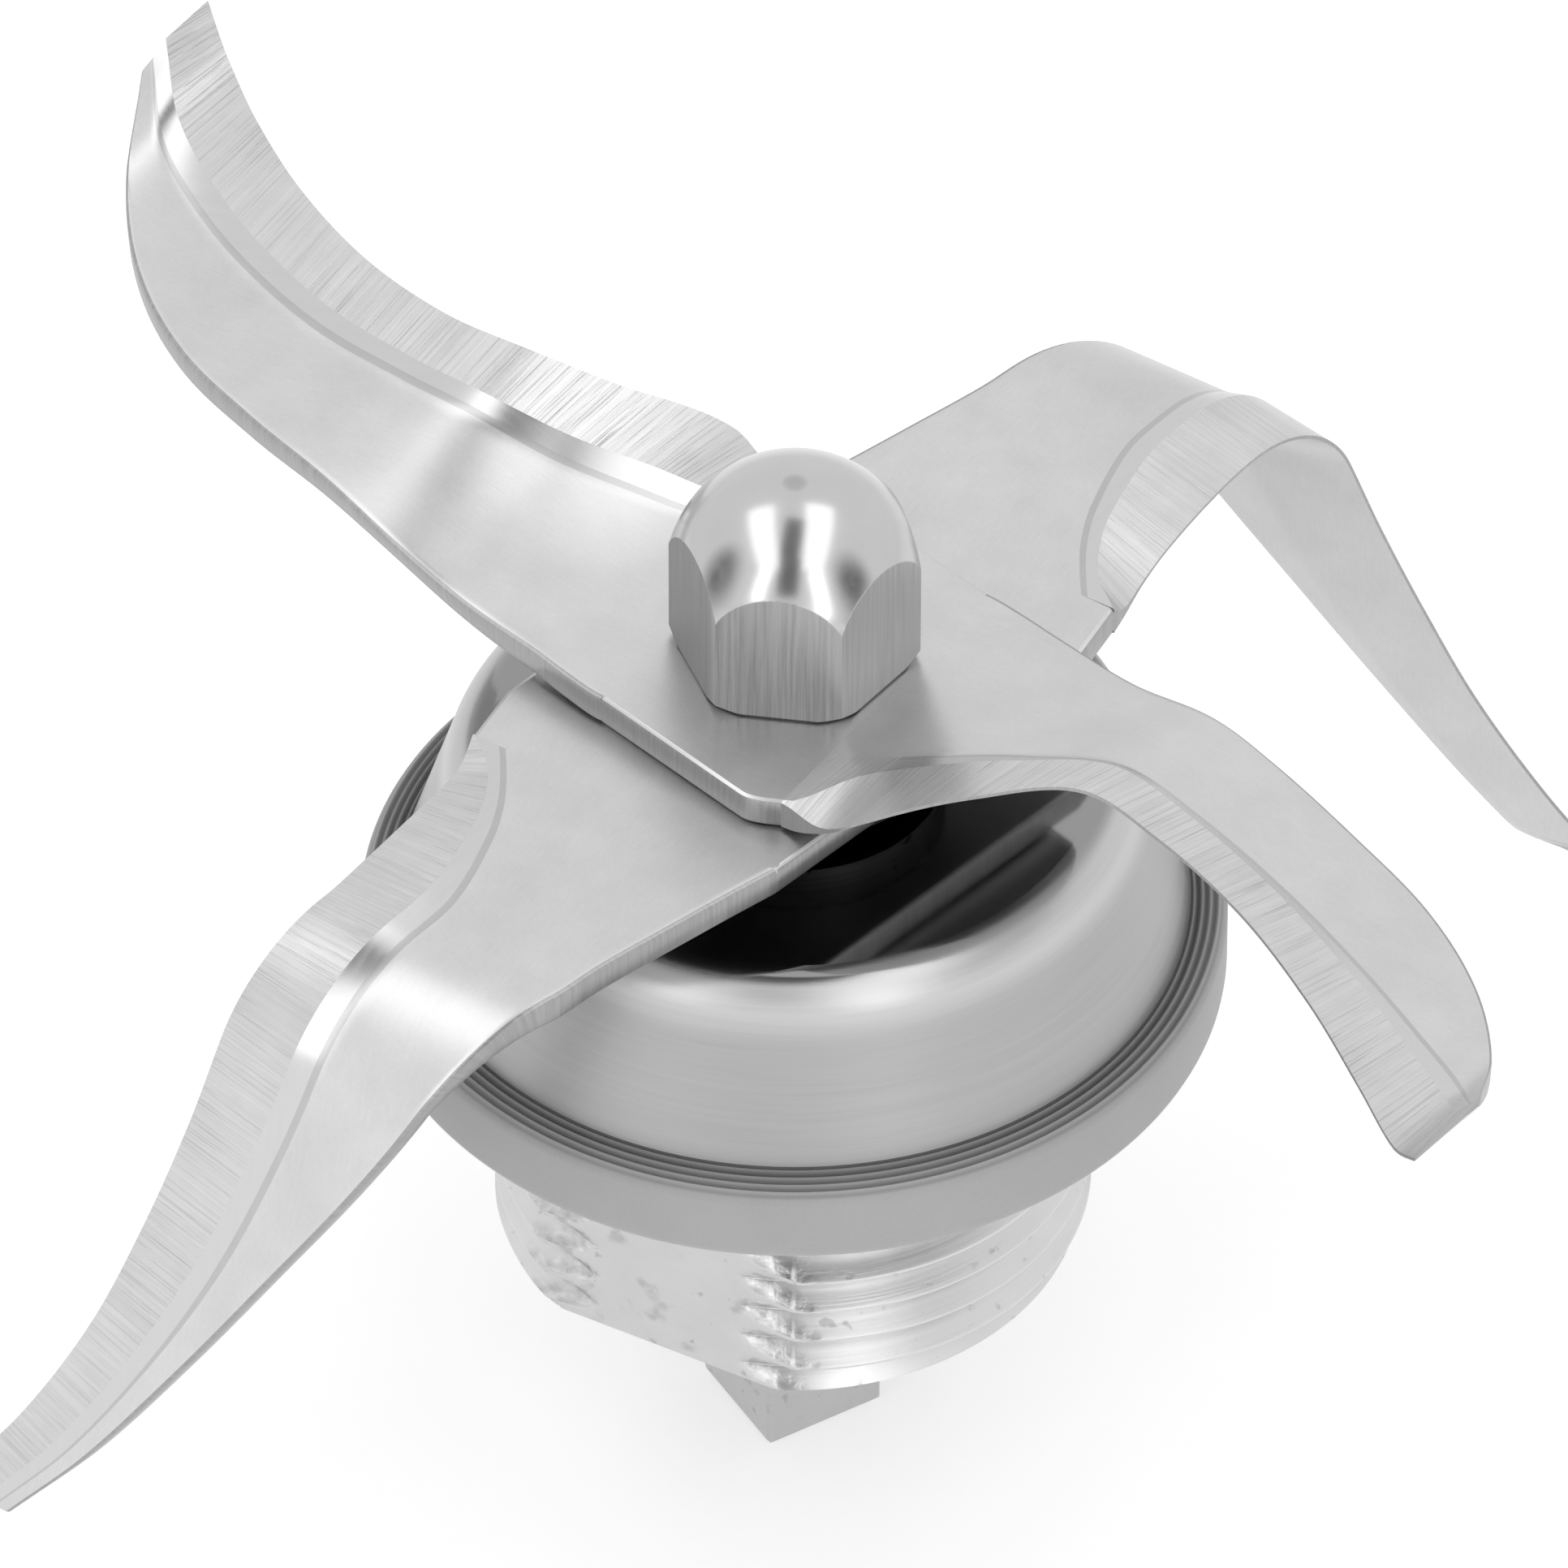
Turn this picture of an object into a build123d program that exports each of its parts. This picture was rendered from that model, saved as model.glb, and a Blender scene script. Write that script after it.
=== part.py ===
"""Blender blade unit: two crossed steel blades on a bearing shaft in a threaded seat.

Millimetres, +Z up. The origin is on the shaft's axis, in the plane where the sealing ring's
underside rests on the jar. The blades and the cap nut stand above it. The threaded neck and the
square drive hang below it.
"""
import os
from math import cos, radians, sin, tan

from build123d import *

os.makedirs("parts", exist_ok=True)

# Fits
FIT = 0.02            # between pieces that are pressed or clamped together
RUN = 0.05            # between pieces that turn past each other

# Shaft and its stack, from the drive upwards
SHAFT_R = 4.0
SHOULDER_R = 5.7
SHOULDER_H = 3.0
DRIVE_ACROSS = 8.0    # square drive, across flats
DRIVE_LEN = 18.4
DRIVE_EDGE = 0.5      # chamfer round the drive's end
DRIVE_TURN = 31.0     # turn of the square about the axis, degrees
STACK_INSET = 4.3     # from the neck's end up to the shaft's shoulder, where the lower bearing sits
FLATS_ACROSS = 6.5    # flats that key the blades to the shaft
STUD_LEN = 8.6        # threaded end that stands above the blades

# Bearings
BEARING_OD = 22.0
BEARING_W = 7.0
BALL_R = 1.98
BALL_COUNT = 7
PITCH_R = 7.5
RACE_LAND = 1.45      # pitch circle to the land of either race
CAGE_T = 1.1
CAGE_H = 5.2
SHIELD_T = 0.3
SHIELD_SEAT = 0.45    # step in the outer race for the shield
SHIELD_INSET = 0.2
UPPER_BEARING_Z = -2.0
SPACER_WALL = 1.4

# Retaining ring under the lower bearing
CLIP_T = 1.2
CLIP_WIDTH = 2.0
CLIP_GROOVE = 0.6
CLIP_OPENING = 7.0

# Threaded base
THREAD_R = 18.0
NECK_LEN = 19.3
NECK_FLAT = 2.2       # depth of the flat milled down the neck
NECK_FLAT_TURN = -118.0
NECK_CHAMFER = 0.6
NECK_PLAIN = 1.2      # stretch under the ring that the flats leave round
NECK_UNDERCUT = 0.6   # groove above the thread that holds the ring
FLANGE_Z = 2.4
FLANGE_H = 3.3
BASE_TOP_INSET = 2.4  # from the cup's shoulder to the top of the base
BEARING_LIP = 1.7
SEAL_FLOOR = 3.0      # wall between the upper bearing and the seal's pocket

# Shaft seal
SEAL_H = 7.0
SEAL_WALL = 1.2
SEAL_LIP_H = 4.2
SEAL_CLEAR = 1.0      # from the seal up to the cup
SPRING_R = 0.42

# Cup
CUP_T = 1.0
CUP_RIM_R = 23.67
CUP_RIM_Z = 5.7
CUP_TOP_R = 20.2
CUP_SHOULDER = 2.6
CUP_HOLE_R = 7.6

# Sealing ring
RING_SHELF = 1.03     # rounded shelf outside the ridges
RING_SEAT = 0.4       # from the thread to the ring's underside
RING_ROUND = 0.9
RING_RIDGE_W = 0.3
RING_RIDGE_H = 0.55
RING_CLEAR = 0.1

# Blade collar
COLLAR_R = 6.0
COLLAR_FLANGE_R = 9.0
COLLAR_FLANGE_H = 3.2

# Blades
BLADE_T = 2.0
BLADE_RISE = 4.45     # from the cup's top to the underside of the lower blade
BLADE_GAP = 0.15      # spacer between the two blades
BLADE_SPACER_R = 7.0
EDGE_LAND = 0.22      # flat left on the cutting edge
RAMP_SHARE = 0.27     # part of the set edge that is ramp before the grind starts

# Upper blade
UPPER_TURN = 146.0
# station along the arm, lift, roll, set of the edge, how far it is ground, back edge, groove and cutting edge
UPPER_STATIONS = (
    (6.9, 0.0, 0.0, 1.0, 0.05, -10.2, 6.3, 11.6),
    (9.9, 0.4, 1.8, 6.0, 0.85, -9.8, 5.6, 12.0),
    (12.5, 0.9, 4.4, 12.5, 1.0, -9.3, 4.6, 12.1),
    (18.5, 2.3, 13.2, 17.0, 1.0, -8.5, 2.7, 9.1),
    (24.5, 4.0, 17.5, 23.2, 1.0, -7.7, 1.8, 7.0),
    (30.0, 3.5, 13.6, 27.8, 1.0, -5.9, 2.4, 7.3),
    (37.0, 2.4, 10.0, 30.5, 1.0, -3.6, 3.9, 9.2),
    (44.0, 1.7, 7.6, 27.0, 1.0, -0.8, 6.4, 12.5),
    (50.0, 1.6, 6.2, 21.6, 1.0, 3.4, 9.3, 16.3),
    (54.5, 2.3, 6.0, 16.3, 1.0, 8.8, 12.2, 19.6),
    (57.2, 3.5, 10.0, 11.0, 1.0, 14.5, 15.6, 21.5),
)
# rounded corner of the hub at the root of the cutting edge
UPPER_CORNER = ((3.7, 12.2), (4.8, 12.35), (5.8, 12.1))

# Lower blade
LOWER_TURN = -122.7
LOWER_SET = 12.9
LOWER_CORNER = (10.6, 13.4)   # where the hub is widest, beside the root of the cutting edge
BEND_AT = 37.1        # where the flat and the sloping line of the arm would cross
BEND_ANGLE = 72.5
BEND_R = 8.5
BEND_STEPS = 4
# distance from the axis, share of the set, how far it is ground, back edge, groove and cutting edge on the flat
LOWER_FLAT = (
    (14.8, 0.1, 0.05, -8.3, 10.7, 13.0),
    (16.2, 0.3, 0.75, -7.8, 9.7, 12.85),
    (18.5, 0.7, 0.95, -7.0, 8.3, 12.6),
    (21.5, 0.95, 1.0, -6.0, 7.1, 12.5),
    (27.0, 1.0, 1.0, -4.2, 6.0, 12.6),
)
# back edge, groove and cutting edge at the two ends of the bend
BEND_START = (-3.2, 6.3, 12.9)
BEND_END = (1.2, 8.0, 14.8)
# distance past the bend, back edge, groove and cutting edge on the slope
LOWER_SLOPE = (
    (6.7, 4.5, 9.5, 16.0),
    (14.7, 9.0, 11.9, 17.9),
    (22.7, 13.6, 15.4, 20.4),
    (30.7, 18.6, 19.8, 24.1),
    (36.7, 23.2, 24.2, 28.0),
)

# Cap nut
NUT_ACROSS = 13.0
NUT_DOME_R = 7.7
NUT_DOME_Z = 5.4
NUT_CHAMFER = 0.8
NUT_TURN = -8.3
NUT_BORE_DEPTH = 9.4

# Levels and radii that follow from the sizes above
bearing_r = BEARING_OD / 2
neck_z = -NECK_LEN
lower_z = neck_z + STACK_INSET
upper_z = UPPER_BEARING_Z
spacer_len = upper_z - lower_z - BEARING_W
collar_z = upper_z + BEARING_W
seal_z = collar_z + SEAL_FLOOR
cup_under_z = seal_z + SEAL_H + SEAL_CLEAR
cup_top_z = cup_under_z + CUP_T
lower_under_z = cup_top_z + BLADE_RISE
lower_top_z = lower_under_z + BLADE_T
upper_blade_z = lower_top_z + BLADE_GAP
hub_top_z = upper_blade_z + BLADE_T
land_in = PITCH_R - RACE_LAND
land_out = PITCH_R + RACE_LAND
drive_z = lower_z - SHOULDER_H
nut_corner = NUT_ACROSS / 2 / cos(radians(30))
cup_in_r = CUP_RIM_R - CUP_T
flange_r = cup_in_r - RING_CLEAR
undercut_r = THREAD_R - NECK_UNDERCUT
base_top_r = CUP_TOP_R - BASE_TOP_INSET
ring_r = CUP_RIM_R + 4 * RING_RIDGE_W + RING_SHELF


def across_arm(turn, p, z, slope=0.0, roll=0.0):
    """Plane that cuts an arm square to its run, X towards the cutting edge and Y up."""
    along = Vector(1, 0, 0).rotate(Axis.Z, turn)
    side = along.rotate(Axis.Z, -90)
    run = along * cos(radians(slope)) - Vector(0, 0, 1) * sin(radians(slope))
    tilt = side * cos(radians(roll)) + Vector(0, 0, 1) * sin(radians(roll))
    return Plane(origin=along * p + Vector(0, 0, z), x_dir=tilt, z_dir=run * -1)


def edge_profile(back, groove, cut, edge_set, ground=1.0):
    """Outline of one section: flat back, sheet set up at the groove and ground to an edge."""
    rise = tan(radians(edge_set))
    ramp = cut - ground * (1 - RAMP_SHARE) * (cut - groove)
    tip = (cut - groove) * rise - BLADE_T
    land = BLADE_T - ground * (BLADE_T - EDGE_LAND)
    Polyline(
        (back, 0),
        (groove, 0),
        (ramp, (ramp - groove) * rise),
        (cut, tip + land),
        (cut, tip),
        (groove, -BLADE_T),
        (back, -BLADE_T),
        close=True,
    )


def bent_run(past, angle):
    """Plane across the lower arm, a distance past the end of its bend or at an angle inside it."""
    flat_end = BEND_AT - BEND_R * tan(radians(BEND_ANGLE / 2))
    p = flat_end + BEND_R * sin(radians(angle)) + past * cos(radians(angle))
    drop = BEND_R * (1 - cos(radians(angle))) + past * sin(radians(angle))
    return across_arm(LOWER_TURN, p, lower_top_z - drop, angle)


# Upper blade
with BuildPart() as upper_arm:
    for p, lift, roll, edge_set, ground, back, groove, cut in UPPER_STATIONS:
        with BuildSketch(across_arm(UPPER_TURN, p, hub_top_z + lift, 0, roll)):
            with BuildLine():
                edge_profile(back, groove, cut, edge_set, ground)
            make_face()
    loft()

with BuildPart() as upper_blade:
    p, *_, back, groove, cut = UPPER_STATIONS[0]
    side = [(p, -groove), (p, -back), *((-x, y) for x, y in UPPER_CORNER), (-p, cut)]
    with BuildSketch(Plane.XY.offset(upper_blade_z).rotated((0, 0, UPPER_TURN))):
        with BuildLine():
            Polyline(*side, *((-x, -y) for x, y in side), close=True)
        make_face()
    extrude(amount=BLADE_T)
    with PolarLocations(0, 2):
        add(upper_arm.part)
    with BuildSketch(Plane.XY.offset(upper_blade_z).rotated((0, 0, UPPER_TURN))):
        Circle(SHAFT_R + FIT)
        Rectangle(4 * SHAFT_R, FLATS_ACROSS + 2 * FIT, mode=Mode.INTERSECT)
    extrude(amount=BLADE_T, mode=Mode.SUBTRACT)
upper_blade.part.label = "upper_blade"
export_step(upper_blade.part, "parts/upper_blade.step")

# Lower blade: flat, bend and slope of one arm, each lofted from its own sections
bend = [
    (BEND_ANGLE * k / BEND_STEPS, *(i + (j - i) * k / BEND_STEPS for i, j in zip(BEND_START, BEND_END)))
    for k in range(BEND_STEPS + 1)
]
flat_cuts = [(across_arm(LOWER_TURN, p, lower_top_z), row) for p, *row in LOWER_FLAT]
bend_cuts = [(bent_run(0, angle), (1, 1, *row)) for angle, *row in bend]
slope_cuts = [(bent_run(past, BEND_ANGLE), (1, 1, *row)) for past, *row in LOWER_SLOPE]
with BuildPart() as lower_arm:
    for cuts in (flat_cuts + bend_cuts[:1], bend_cuts, bend_cuts[-1:] + slope_cuts):
        for plane, (share, ground, back, groove, cut) in cuts:
            with BuildSketch(plane):
                with BuildLine():
                    edge_profile(back, groove, cut, share * LOWER_SET, ground)
                make_face()
        loft()

with BuildPart() as lower_blade:
    p, *_, back, groove, cut = LOWER_FLAT[0]
    side = [(p, -groove), (p, -back), (-LOWER_CORNER[0], LOWER_CORNER[1]), (-p, cut)]
    with BuildSketch(Plane.XY.offset(lower_under_z).rotated((0, 0, LOWER_TURN))):
        with BuildLine():
            Polyline(*side, *((-x, -y) for x, y in side), close=True)
        make_face()
    extrude(amount=BLADE_T)
    with PolarLocations(0, 2):
        add(lower_arm.part)
    with BuildSketch(Plane.XY.offset(lower_under_z).rotated((0, 0, UPPER_TURN))):
        Circle(SHAFT_R + FIT)
        Rectangle(4 * SHAFT_R, FLATS_ACROSS + 2 * FIT, mode=Mode.INTERSECT)
    extrude(amount=BLADE_T, mode=Mode.SUBTRACT)
lower_blade.part.label = "lower_blade"
export_step(lower_blade.part, "parts/lower_blade.step")

# Blade spacer: washer that holds the two blades apart
with BuildPart() as blade_spacer:
    with BuildSketch(Plane.XY.offset(lower_top_z)):
        Circle(BLADE_SPACER_R)
        Circle(SHAFT_R + FIT, mode=Mode.SUBTRACT)
    extrude(amount=BLADE_GAP)
blade_spacer.part.label = "blade_spacer"
export_step(blade_spacer.part, "parts/blade_spacer.step")

# Cap nut: hexagon under a turned dome
with BuildPart() as cap_nut:
    with BuildSketch(Plane.XY.offset(hub_top_z).rotated((0, 0, NUT_TURN))):
        RegularPolygon(nut_corner, 6)
    extrude(amount=NUT_DOME_Z + NUT_DOME_R)
    with BuildSketch(Plane.XZ.offset(0).shift_origin((0, 0, hub_top_z))):
        with BuildLine():
            dome = CenterArc((0, NUT_DOME_Z), NUT_DOME_R, 0, 90)
            Line(dome @ 1, (0, 0))
            Line((0, 0), (NUT_DOME_R - 1.2 * NUT_CHAMFER, 0))
            Line((NUT_DOME_R - 1.2 * NUT_CHAMFER, 0), (NUT_DOME_R, NUT_CHAMFER))
            Line((NUT_DOME_R, NUT_CHAMFER), dome @ 0)
        make_face()
    revolve(axis=Axis.Z, mode=Mode.INTERSECT)
    with BuildSketch(Plane.XY.offset(hub_top_z)):
        Circle(SHAFT_R + FIT)
    extrude(amount=NUT_BORE_DEPTH, mode=Mode.SUBTRACT)
cap_nut.part.label = "cap_nut"
export_step(cap_nut.part, "parts/cap_nut.step")

# Drive shaft: square drive, shoulder, bearing seat, keyed and threaded end
with BuildPart() as drive_shaft:
    with BuildSketch(Plane.XY.offset(drive_z - DRIVE_LEN).rotated((0, 0, DRIVE_TURN))):
        Rectangle(DRIVE_ACROSS, DRIVE_ACROSS)
    extrude(amount=DRIVE_LEN)
    chamfer(drive_shaft.faces().sort_by(Axis.Z)[0].edges(), DRIVE_EDGE)
    fillet(drive_shaft.edges().filter_by(Axis.Z), DRIVE_EDGE)
    with BuildSketch(Plane.XY.offset(drive_z)):
        Circle(SHOULDER_R)
    extrude(amount=SHOULDER_H)
    with BuildSketch(Plane.XY.offset(lower_z)):
        Circle(SHAFT_R)
    extrude(amount=lower_under_z - lower_z)
    with BuildSketch(Plane.XY.offset(lower_under_z).rotated((0, 0, UPPER_TURN))):
        Circle(SHAFT_R)
        Rectangle(4 * SHAFT_R, FLATS_ACROSS, mode=Mode.INTERSECT)
    extrude(amount=hub_top_z - lower_under_z + STUD_LEN)
drive_shaft.part.label = "drive_shaft"
export_step(drive_shaft.part, "parts/drive_shaft.step")

# Blade collar: sleeve from the upper bearing to the blades, with a flange under the blades
with BuildPart() as blade_collar:
    with BuildSketch(Plane.XZ):
        with BuildLine():
            Polyline(
                (SHAFT_R + FIT, collar_z),
                (COLLAR_R, collar_z),
                (COLLAR_R, lower_under_z - COLLAR_FLANGE_H),
                (COLLAR_FLANGE_R, lower_under_z - COLLAR_FLANGE_H),
                (COLLAR_FLANGE_R, lower_under_z),
                (SHAFT_R + FIT, lower_under_z),
                close=True,
            )
        make_face()
    revolve(axis=Axis.Z)
blade_collar.part.label = "blade_collar"
export_step(blade_collar.part, "parts/blade_collar.step")

# Inner spacer between the inner races
with BuildPart() as inner_spacer:
    with BuildSketch(Plane.XY.offset(lower_z + BEARING_W)):
        Circle(land_in)
        Circle(SHAFT_R + FIT, mode=Mode.SUBTRACT)
    extrude(amount=spacer_len)
inner_spacer.part.label = "inner_spacer"
export_step(inner_spacer.part, "parts/inner_spacer.step")

# Outer spacer between the outer races
with BuildPart() as outer_spacer:
    with BuildSketch(Plane.XY.offset(lower_z + BEARING_W)):
        Circle(bearing_r)
        Circle(bearing_r - SPACER_WALL, mode=Mode.SUBTRACT)
    extrude(amount=spacer_len)
outer_spacer.part.label = "outer_spacer"
export_step(outer_spacer.part, "parts/outer_spacer.step")

# Two ball bearings, each with its races, balls, cage and a pair of shields
for place, foot_z in (("lower", lower_z), ("upper", upper_z)):
    mid_z = foot_z + BEARING_W / 2
    half = BEARING_W / 2
    seat_r = land_out + SHIELD_SEAT
    shield_z = half - SHIELD_INSET - SHIELD_T

    with BuildPart() as inner_race:
        with BuildSketch(Plane.XY.offset(foot_z)):
            Circle(land_in)
            Circle(SHAFT_R + FIT, mode=Mode.SUBTRACT)
        extrude(amount=BEARING_W)
        with BuildSketch(Plane.XZ):
            with Locations((PITCH_R, mid_z)):
                Circle(BALL_R + RUN)
        revolve(axis=Axis.Z, mode=Mode.SUBTRACT)
    inner_race.part.label = place + "_inner_race"
    export_step(inner_race.part, "parts/" + place + "_inner_race.step")

    with BuildPart() as outer_race:
        with BuildSketch(Plane.XY.offset(foot_z)):
            Circle(bearing_r)
            Circle(land_out, mode=Mode.SUBTRACT)
        extrude(amount=BEARING_W)
        for end_z in (foot_z, mid_z + shield_z):
            with BuildSketch(Plane.XY.offset(end_z)):
                Circle(seat_r)
            extrude(amount=half - shield_z, mode=Mode.SUBTRACT)
        with BuildSketch(Plane.XZ):
            with Locations((PITCH_R, mid_z)):
                Circle(BALL_R + RUN)
        revolve(axis=Axis.Z, mode=Mode.SUBTRACT)
    outer_race.part.label = place + "_outer_race"
    export_step(outer_race.part, "parts/" + place + "_outer_race.step")

    with BuildPart() as balls:
        with Locations((0, 0, mid_z)):
            with PolarLocations(PITCH_R, BALL_COUNT):
                Sphere(BALL_R)
    balls.part.label = place + "_balls"
    export_step(balls.part, "parts/" + place + "_balls.step")

    with BuildPart() as cage:
        with BuildSketch(Plane.XY.offset(mid_z - CAGE_H / 2)):
            Circle(PITCH_R + CAGE_T / 2)
            Circle(PITCH_R - CAGE_T / 2, mode=Mode.SUBTRACT)
        extrude(amount=CAGE_H)
        with Locations((0, 0, mid_z)):
            with PolarLocations(PITCH_R, BALL_COUNT):
                Cylinder(BALL_R + RUN, 4 * CAGE_T, rotation=(0, 90, 0), mode=Mode.SUBTRACT)
    cage.part.label = place + "_cage"
    export_step(cage.part, "parts/" + place + "_cage.step")

    with BuildPart() as shields:
        for end_z in (mid_z - shield_z - SHIELD_T, mid_z + shield_z):
            with BuildSketch(Plane.XY.offset(end_z)):
                Circle(seat_r - FIT)
                Circle(land_in + 6 * RUN, mode=Mode.SUBTRACT)
            extrude(amount=SHIELD_T)
    shields.part.label = place + "_shields"
    export_step(shields.part, "parts/" + place + "_shields.step")

# Retaining ring: sprung ring with an opening, in the groove under the lower bearing
clip_r = bearing_r + FIT + CLIP_GROOVE
with BuildPart() as retaining_ring:
    with BuildSketch(Plane.XY.offset(lower_z - CLIP_T)):
        Circle(clip_r - FIT)
        Circle(clip_r - CLIP_WIDTH, mode=Mode.SUBTRACT)
        with Locations((0, -clip_r)):
            Rectangle(CLIP_OPENING, 2 * CLIP_WIDTH + 2 * CLIP_GROOVE, mode=Mode.SUBTRACT)
    extrude(amount=CLIP_T)
retaining_ring.part.label = "retaining_ring"
export_step(retaining_ring.part, "parts/retaining_ring.step")

# Threaded base: neck with a flat, flange over the ring, bearing bore and seal pocket.
# Its outline is drawn on the plane through the middle of the flat.
through_flat = Plane(
    origin=(0, 0, 0),
    x_dir=Vector(1, 0, 0).rotate(Axis.Z, NECK_FLAT_TURN),
    z_dir=Vector(0, -1, 0).rotate(Axis.Z, NECK_FLAT_TURN),
)
with BuildPart() as threaded_base:
    with BuildSketch(through_flat):
        with BuildLine():
            Polyline(
                (bearing_r + FIT, neck_z),
                (THREAD_R - NECK_CHAMFER, neck_z),
                (THREAD_R, neck_z + NECK_CHAMFER),
                (THREAD_R, 0),
                (undercut_r, 0),
                (undercut_r, FLANGE_Z),
                (flange_r, FLANGE_Z),
                (flange_r, FLANGE_Z + FLANGE_H),
                (base_top_r, FLANGE_Z + FLANGE_H),
                (base_top_r, cup_under_z),
                (bearing_r + FIT, cup_under_z),
                (bearing_r + FIT, seal_z),
                (bearing_r - BEARING_LIP, seal_z),
                (bearing_r - BEARING_LIP, collar_z),
                (bearing_r + FIT, collar_z),
                (bearing_r + FIT, lower_z),
                (clip_r, lower_z),
                (clip_r, lower_z - CLIP_T),
                (bearing_r + FIT, lower_z - CLIP_T),
                close=True,
            )
        make_face()
    revolve(axis=Axis.Z)
    with BuildSketch(Plane.XY.offset(neck_z).rotated((0, 0, NECK_FLAT_TURN))):
        with Locations((THREAD_R, 0)):
            Rectangle(2 * NECK_FLAT, 2 * THREAD_R)
    extrude(amount=NECK_LEN - NECK_PLAIN, mode=Mode.SUBTRACT)
threaded_base.part.label = "threaded_base"
export_step(threaded_base.part, "parts/threaded_base.step")

# Shaft seal: rubber-faced ring with a sprung lip on the collar
lip_r = COLLAR_R + RUN
with BuildPart() as shaft_seal:
    with BuildSketch(Plane.XZ):
        with BuildLine():
            Polyline(
                (bearing_r, seal_z),
                (bearing_r, seal_z + SEAL_H),
                (lip_r + SEAL_WALL, seal_z + SEAL_H),
                (lip_r, seal_z + SEAL_H - SEAL_LIP_H),
                (lip_r + SEAL_WALL / 2, seal_z + SEAL_H - SEAL_LIP_H - SEAL_WALL),
                (lip_r + SEAL_WALL, seal_z + SEAL_H - SEAL_LIP_H - SEAL_WALL),
                (lip_r + SEAL_WALL, seal_z + SEAL_H - SEAL_LIP_H / 2),
                (lip_r + 2 * SEAL_WALL, seal_z + SEAL_H - SEAL_WALL),
                (bearing_r - SEAL_WALL, seal_z + SEAL_H - SEAL_WALL),
                (bearing_r - SEAL_WALL, seal_z),
                close=True,
            )
        make_face()
    revolve(axis=Axis.Z)
shaft_seal.part.label = "shaft_seal"
export_step(shaft_seal.part, "parts/shaft_seal.step")

# Garter spring round the seal's lip
spring_ring_r = lip_r + SEAL_WALL + SPRING_R + FIT
with BuildPart() as seal_spring:
    with Locations((0, 0, seal_z + SEAL_H - SEAL_LIP_H)):
        Torus(spring_ring_r, SPRING_R)
seal_spring.part.label = "seal_spring"
export_step(seal_spring.part, "parts/seal_spring.step")

# Seat cup: drawn shell over the base, open round the collar
with BuildPart() as seat_cup:
    with BuildSketch(Plane.XZ):
        with BuildLine():
            Polyline(
                (CUP_HOLE_R, cup_top_z),
                (CUP_TOP_R, cup_top_z),
                (CUP_RIM_R, CUP_RIM_Z),
                (CUP_RIM_R - CUP_T, CUP_RIM_Z),
                (CUP_TOP_R - CUP_T, cup_under_z),
                (CUP_HOLE_R, cup_under_z),
                close=True,
            )
        make_face()
    revolve(axis=Axis.Z)
    fillet(seat_cup.edges().filter_by(GeomType.CIRCLE).filter_by(
        lambda e: abs(e.radius - CUP_TOP_R) < FIT), CUP_SHOULDER)
    fillet(seat_cup.edges().filter_by(GeomType.CIRCLE).filter_by(
        lambda e: abs(e.radius - CUP_TOP_R + CUP_T) < FIT), CUP_SHOULDER - CUP_T)
seat_cup.part.label = "seat_cup"
export_step(seat_cup.part, "parts/seat_cup.step")

# Sealing ring: under the flange, round the cup's rim, with ridges on top
groove_z = CUP_RIM_Z - RING_RIDGE_H
with BuildPart() as sealing_ring:
    with BuildSketch(Plane.XZ):
        with BuildLine():
            Polyline(
                (THREAD_R + RING_SEAT, 0),
                (ring_r, 0),
                (ring_r, groove_z),
                (CUP_RIM_R + 4 * RING_RIDGE_W, groove_z),
                (CUP_RIM_R + 3.5 * RING_RIDGE_W, CUP_RIM_Z - RING_CLEAR),
                (CUP_RIM_R + 2.5 * RING_RIDGE_W, CUP_RIM_Z - RING_CLEAR),
                (CUP_RIM_R + 2 * RING_RIDGE_W, groove_z),
                (CUP_RIM_R + 1.5 * RING_RIDGE_W, CUP_RIM_Z - RING_CLEAR),
                (CUP_RIM_R + RING_RIDGE_W, CUP_RIM_Z - RING_CLEAR),
                (CUP_RIM_R + RING_RIDGE_W / 2, groove_z),
                (CUP_RIM_R, CUP_RIM_Z),
                (flange_r + RING_CLEAR / 2, CUP_RIM_Z),
                (flange_r + RING_CLEAR / 2, FLANGE_Z),
                (undercut_r + RING_CLEAR, FLANGE_Z),
                (undercut_r + RING_CLEAR, RING_SEAT),
                close=True,
            )
        make_face()
    revolve(axis=Axis.Z)
    fillet(sealing_ring.edges().filter_by(GeomType.CIRCLE).filter_by(
        lambda e: abs(e.radius - ring_r) < FIT), min(RING_ROUND, 0.9 * RING_SHELF))
sealing_ring.part.label = "sealing_ring"
export_step(sealing_ring.part, "parts/sealing_ring.step")
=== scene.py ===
"""Looks of a blender blade unit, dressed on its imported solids.

Sizes are in millimetres and become metres where a mesh is made. The frame is that of the solids:
the origin is on the shaft's axis, in the plane under the sealing ring, and +Z runs to the cap nut.
"""
import logging
import math
from dataclasses import dataclass
from enum import IntEnum
from functools import reduce
from typing import Callable, Optional, Union

import bmesh
import bpy
from mathutils import Matrix, Vector


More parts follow.
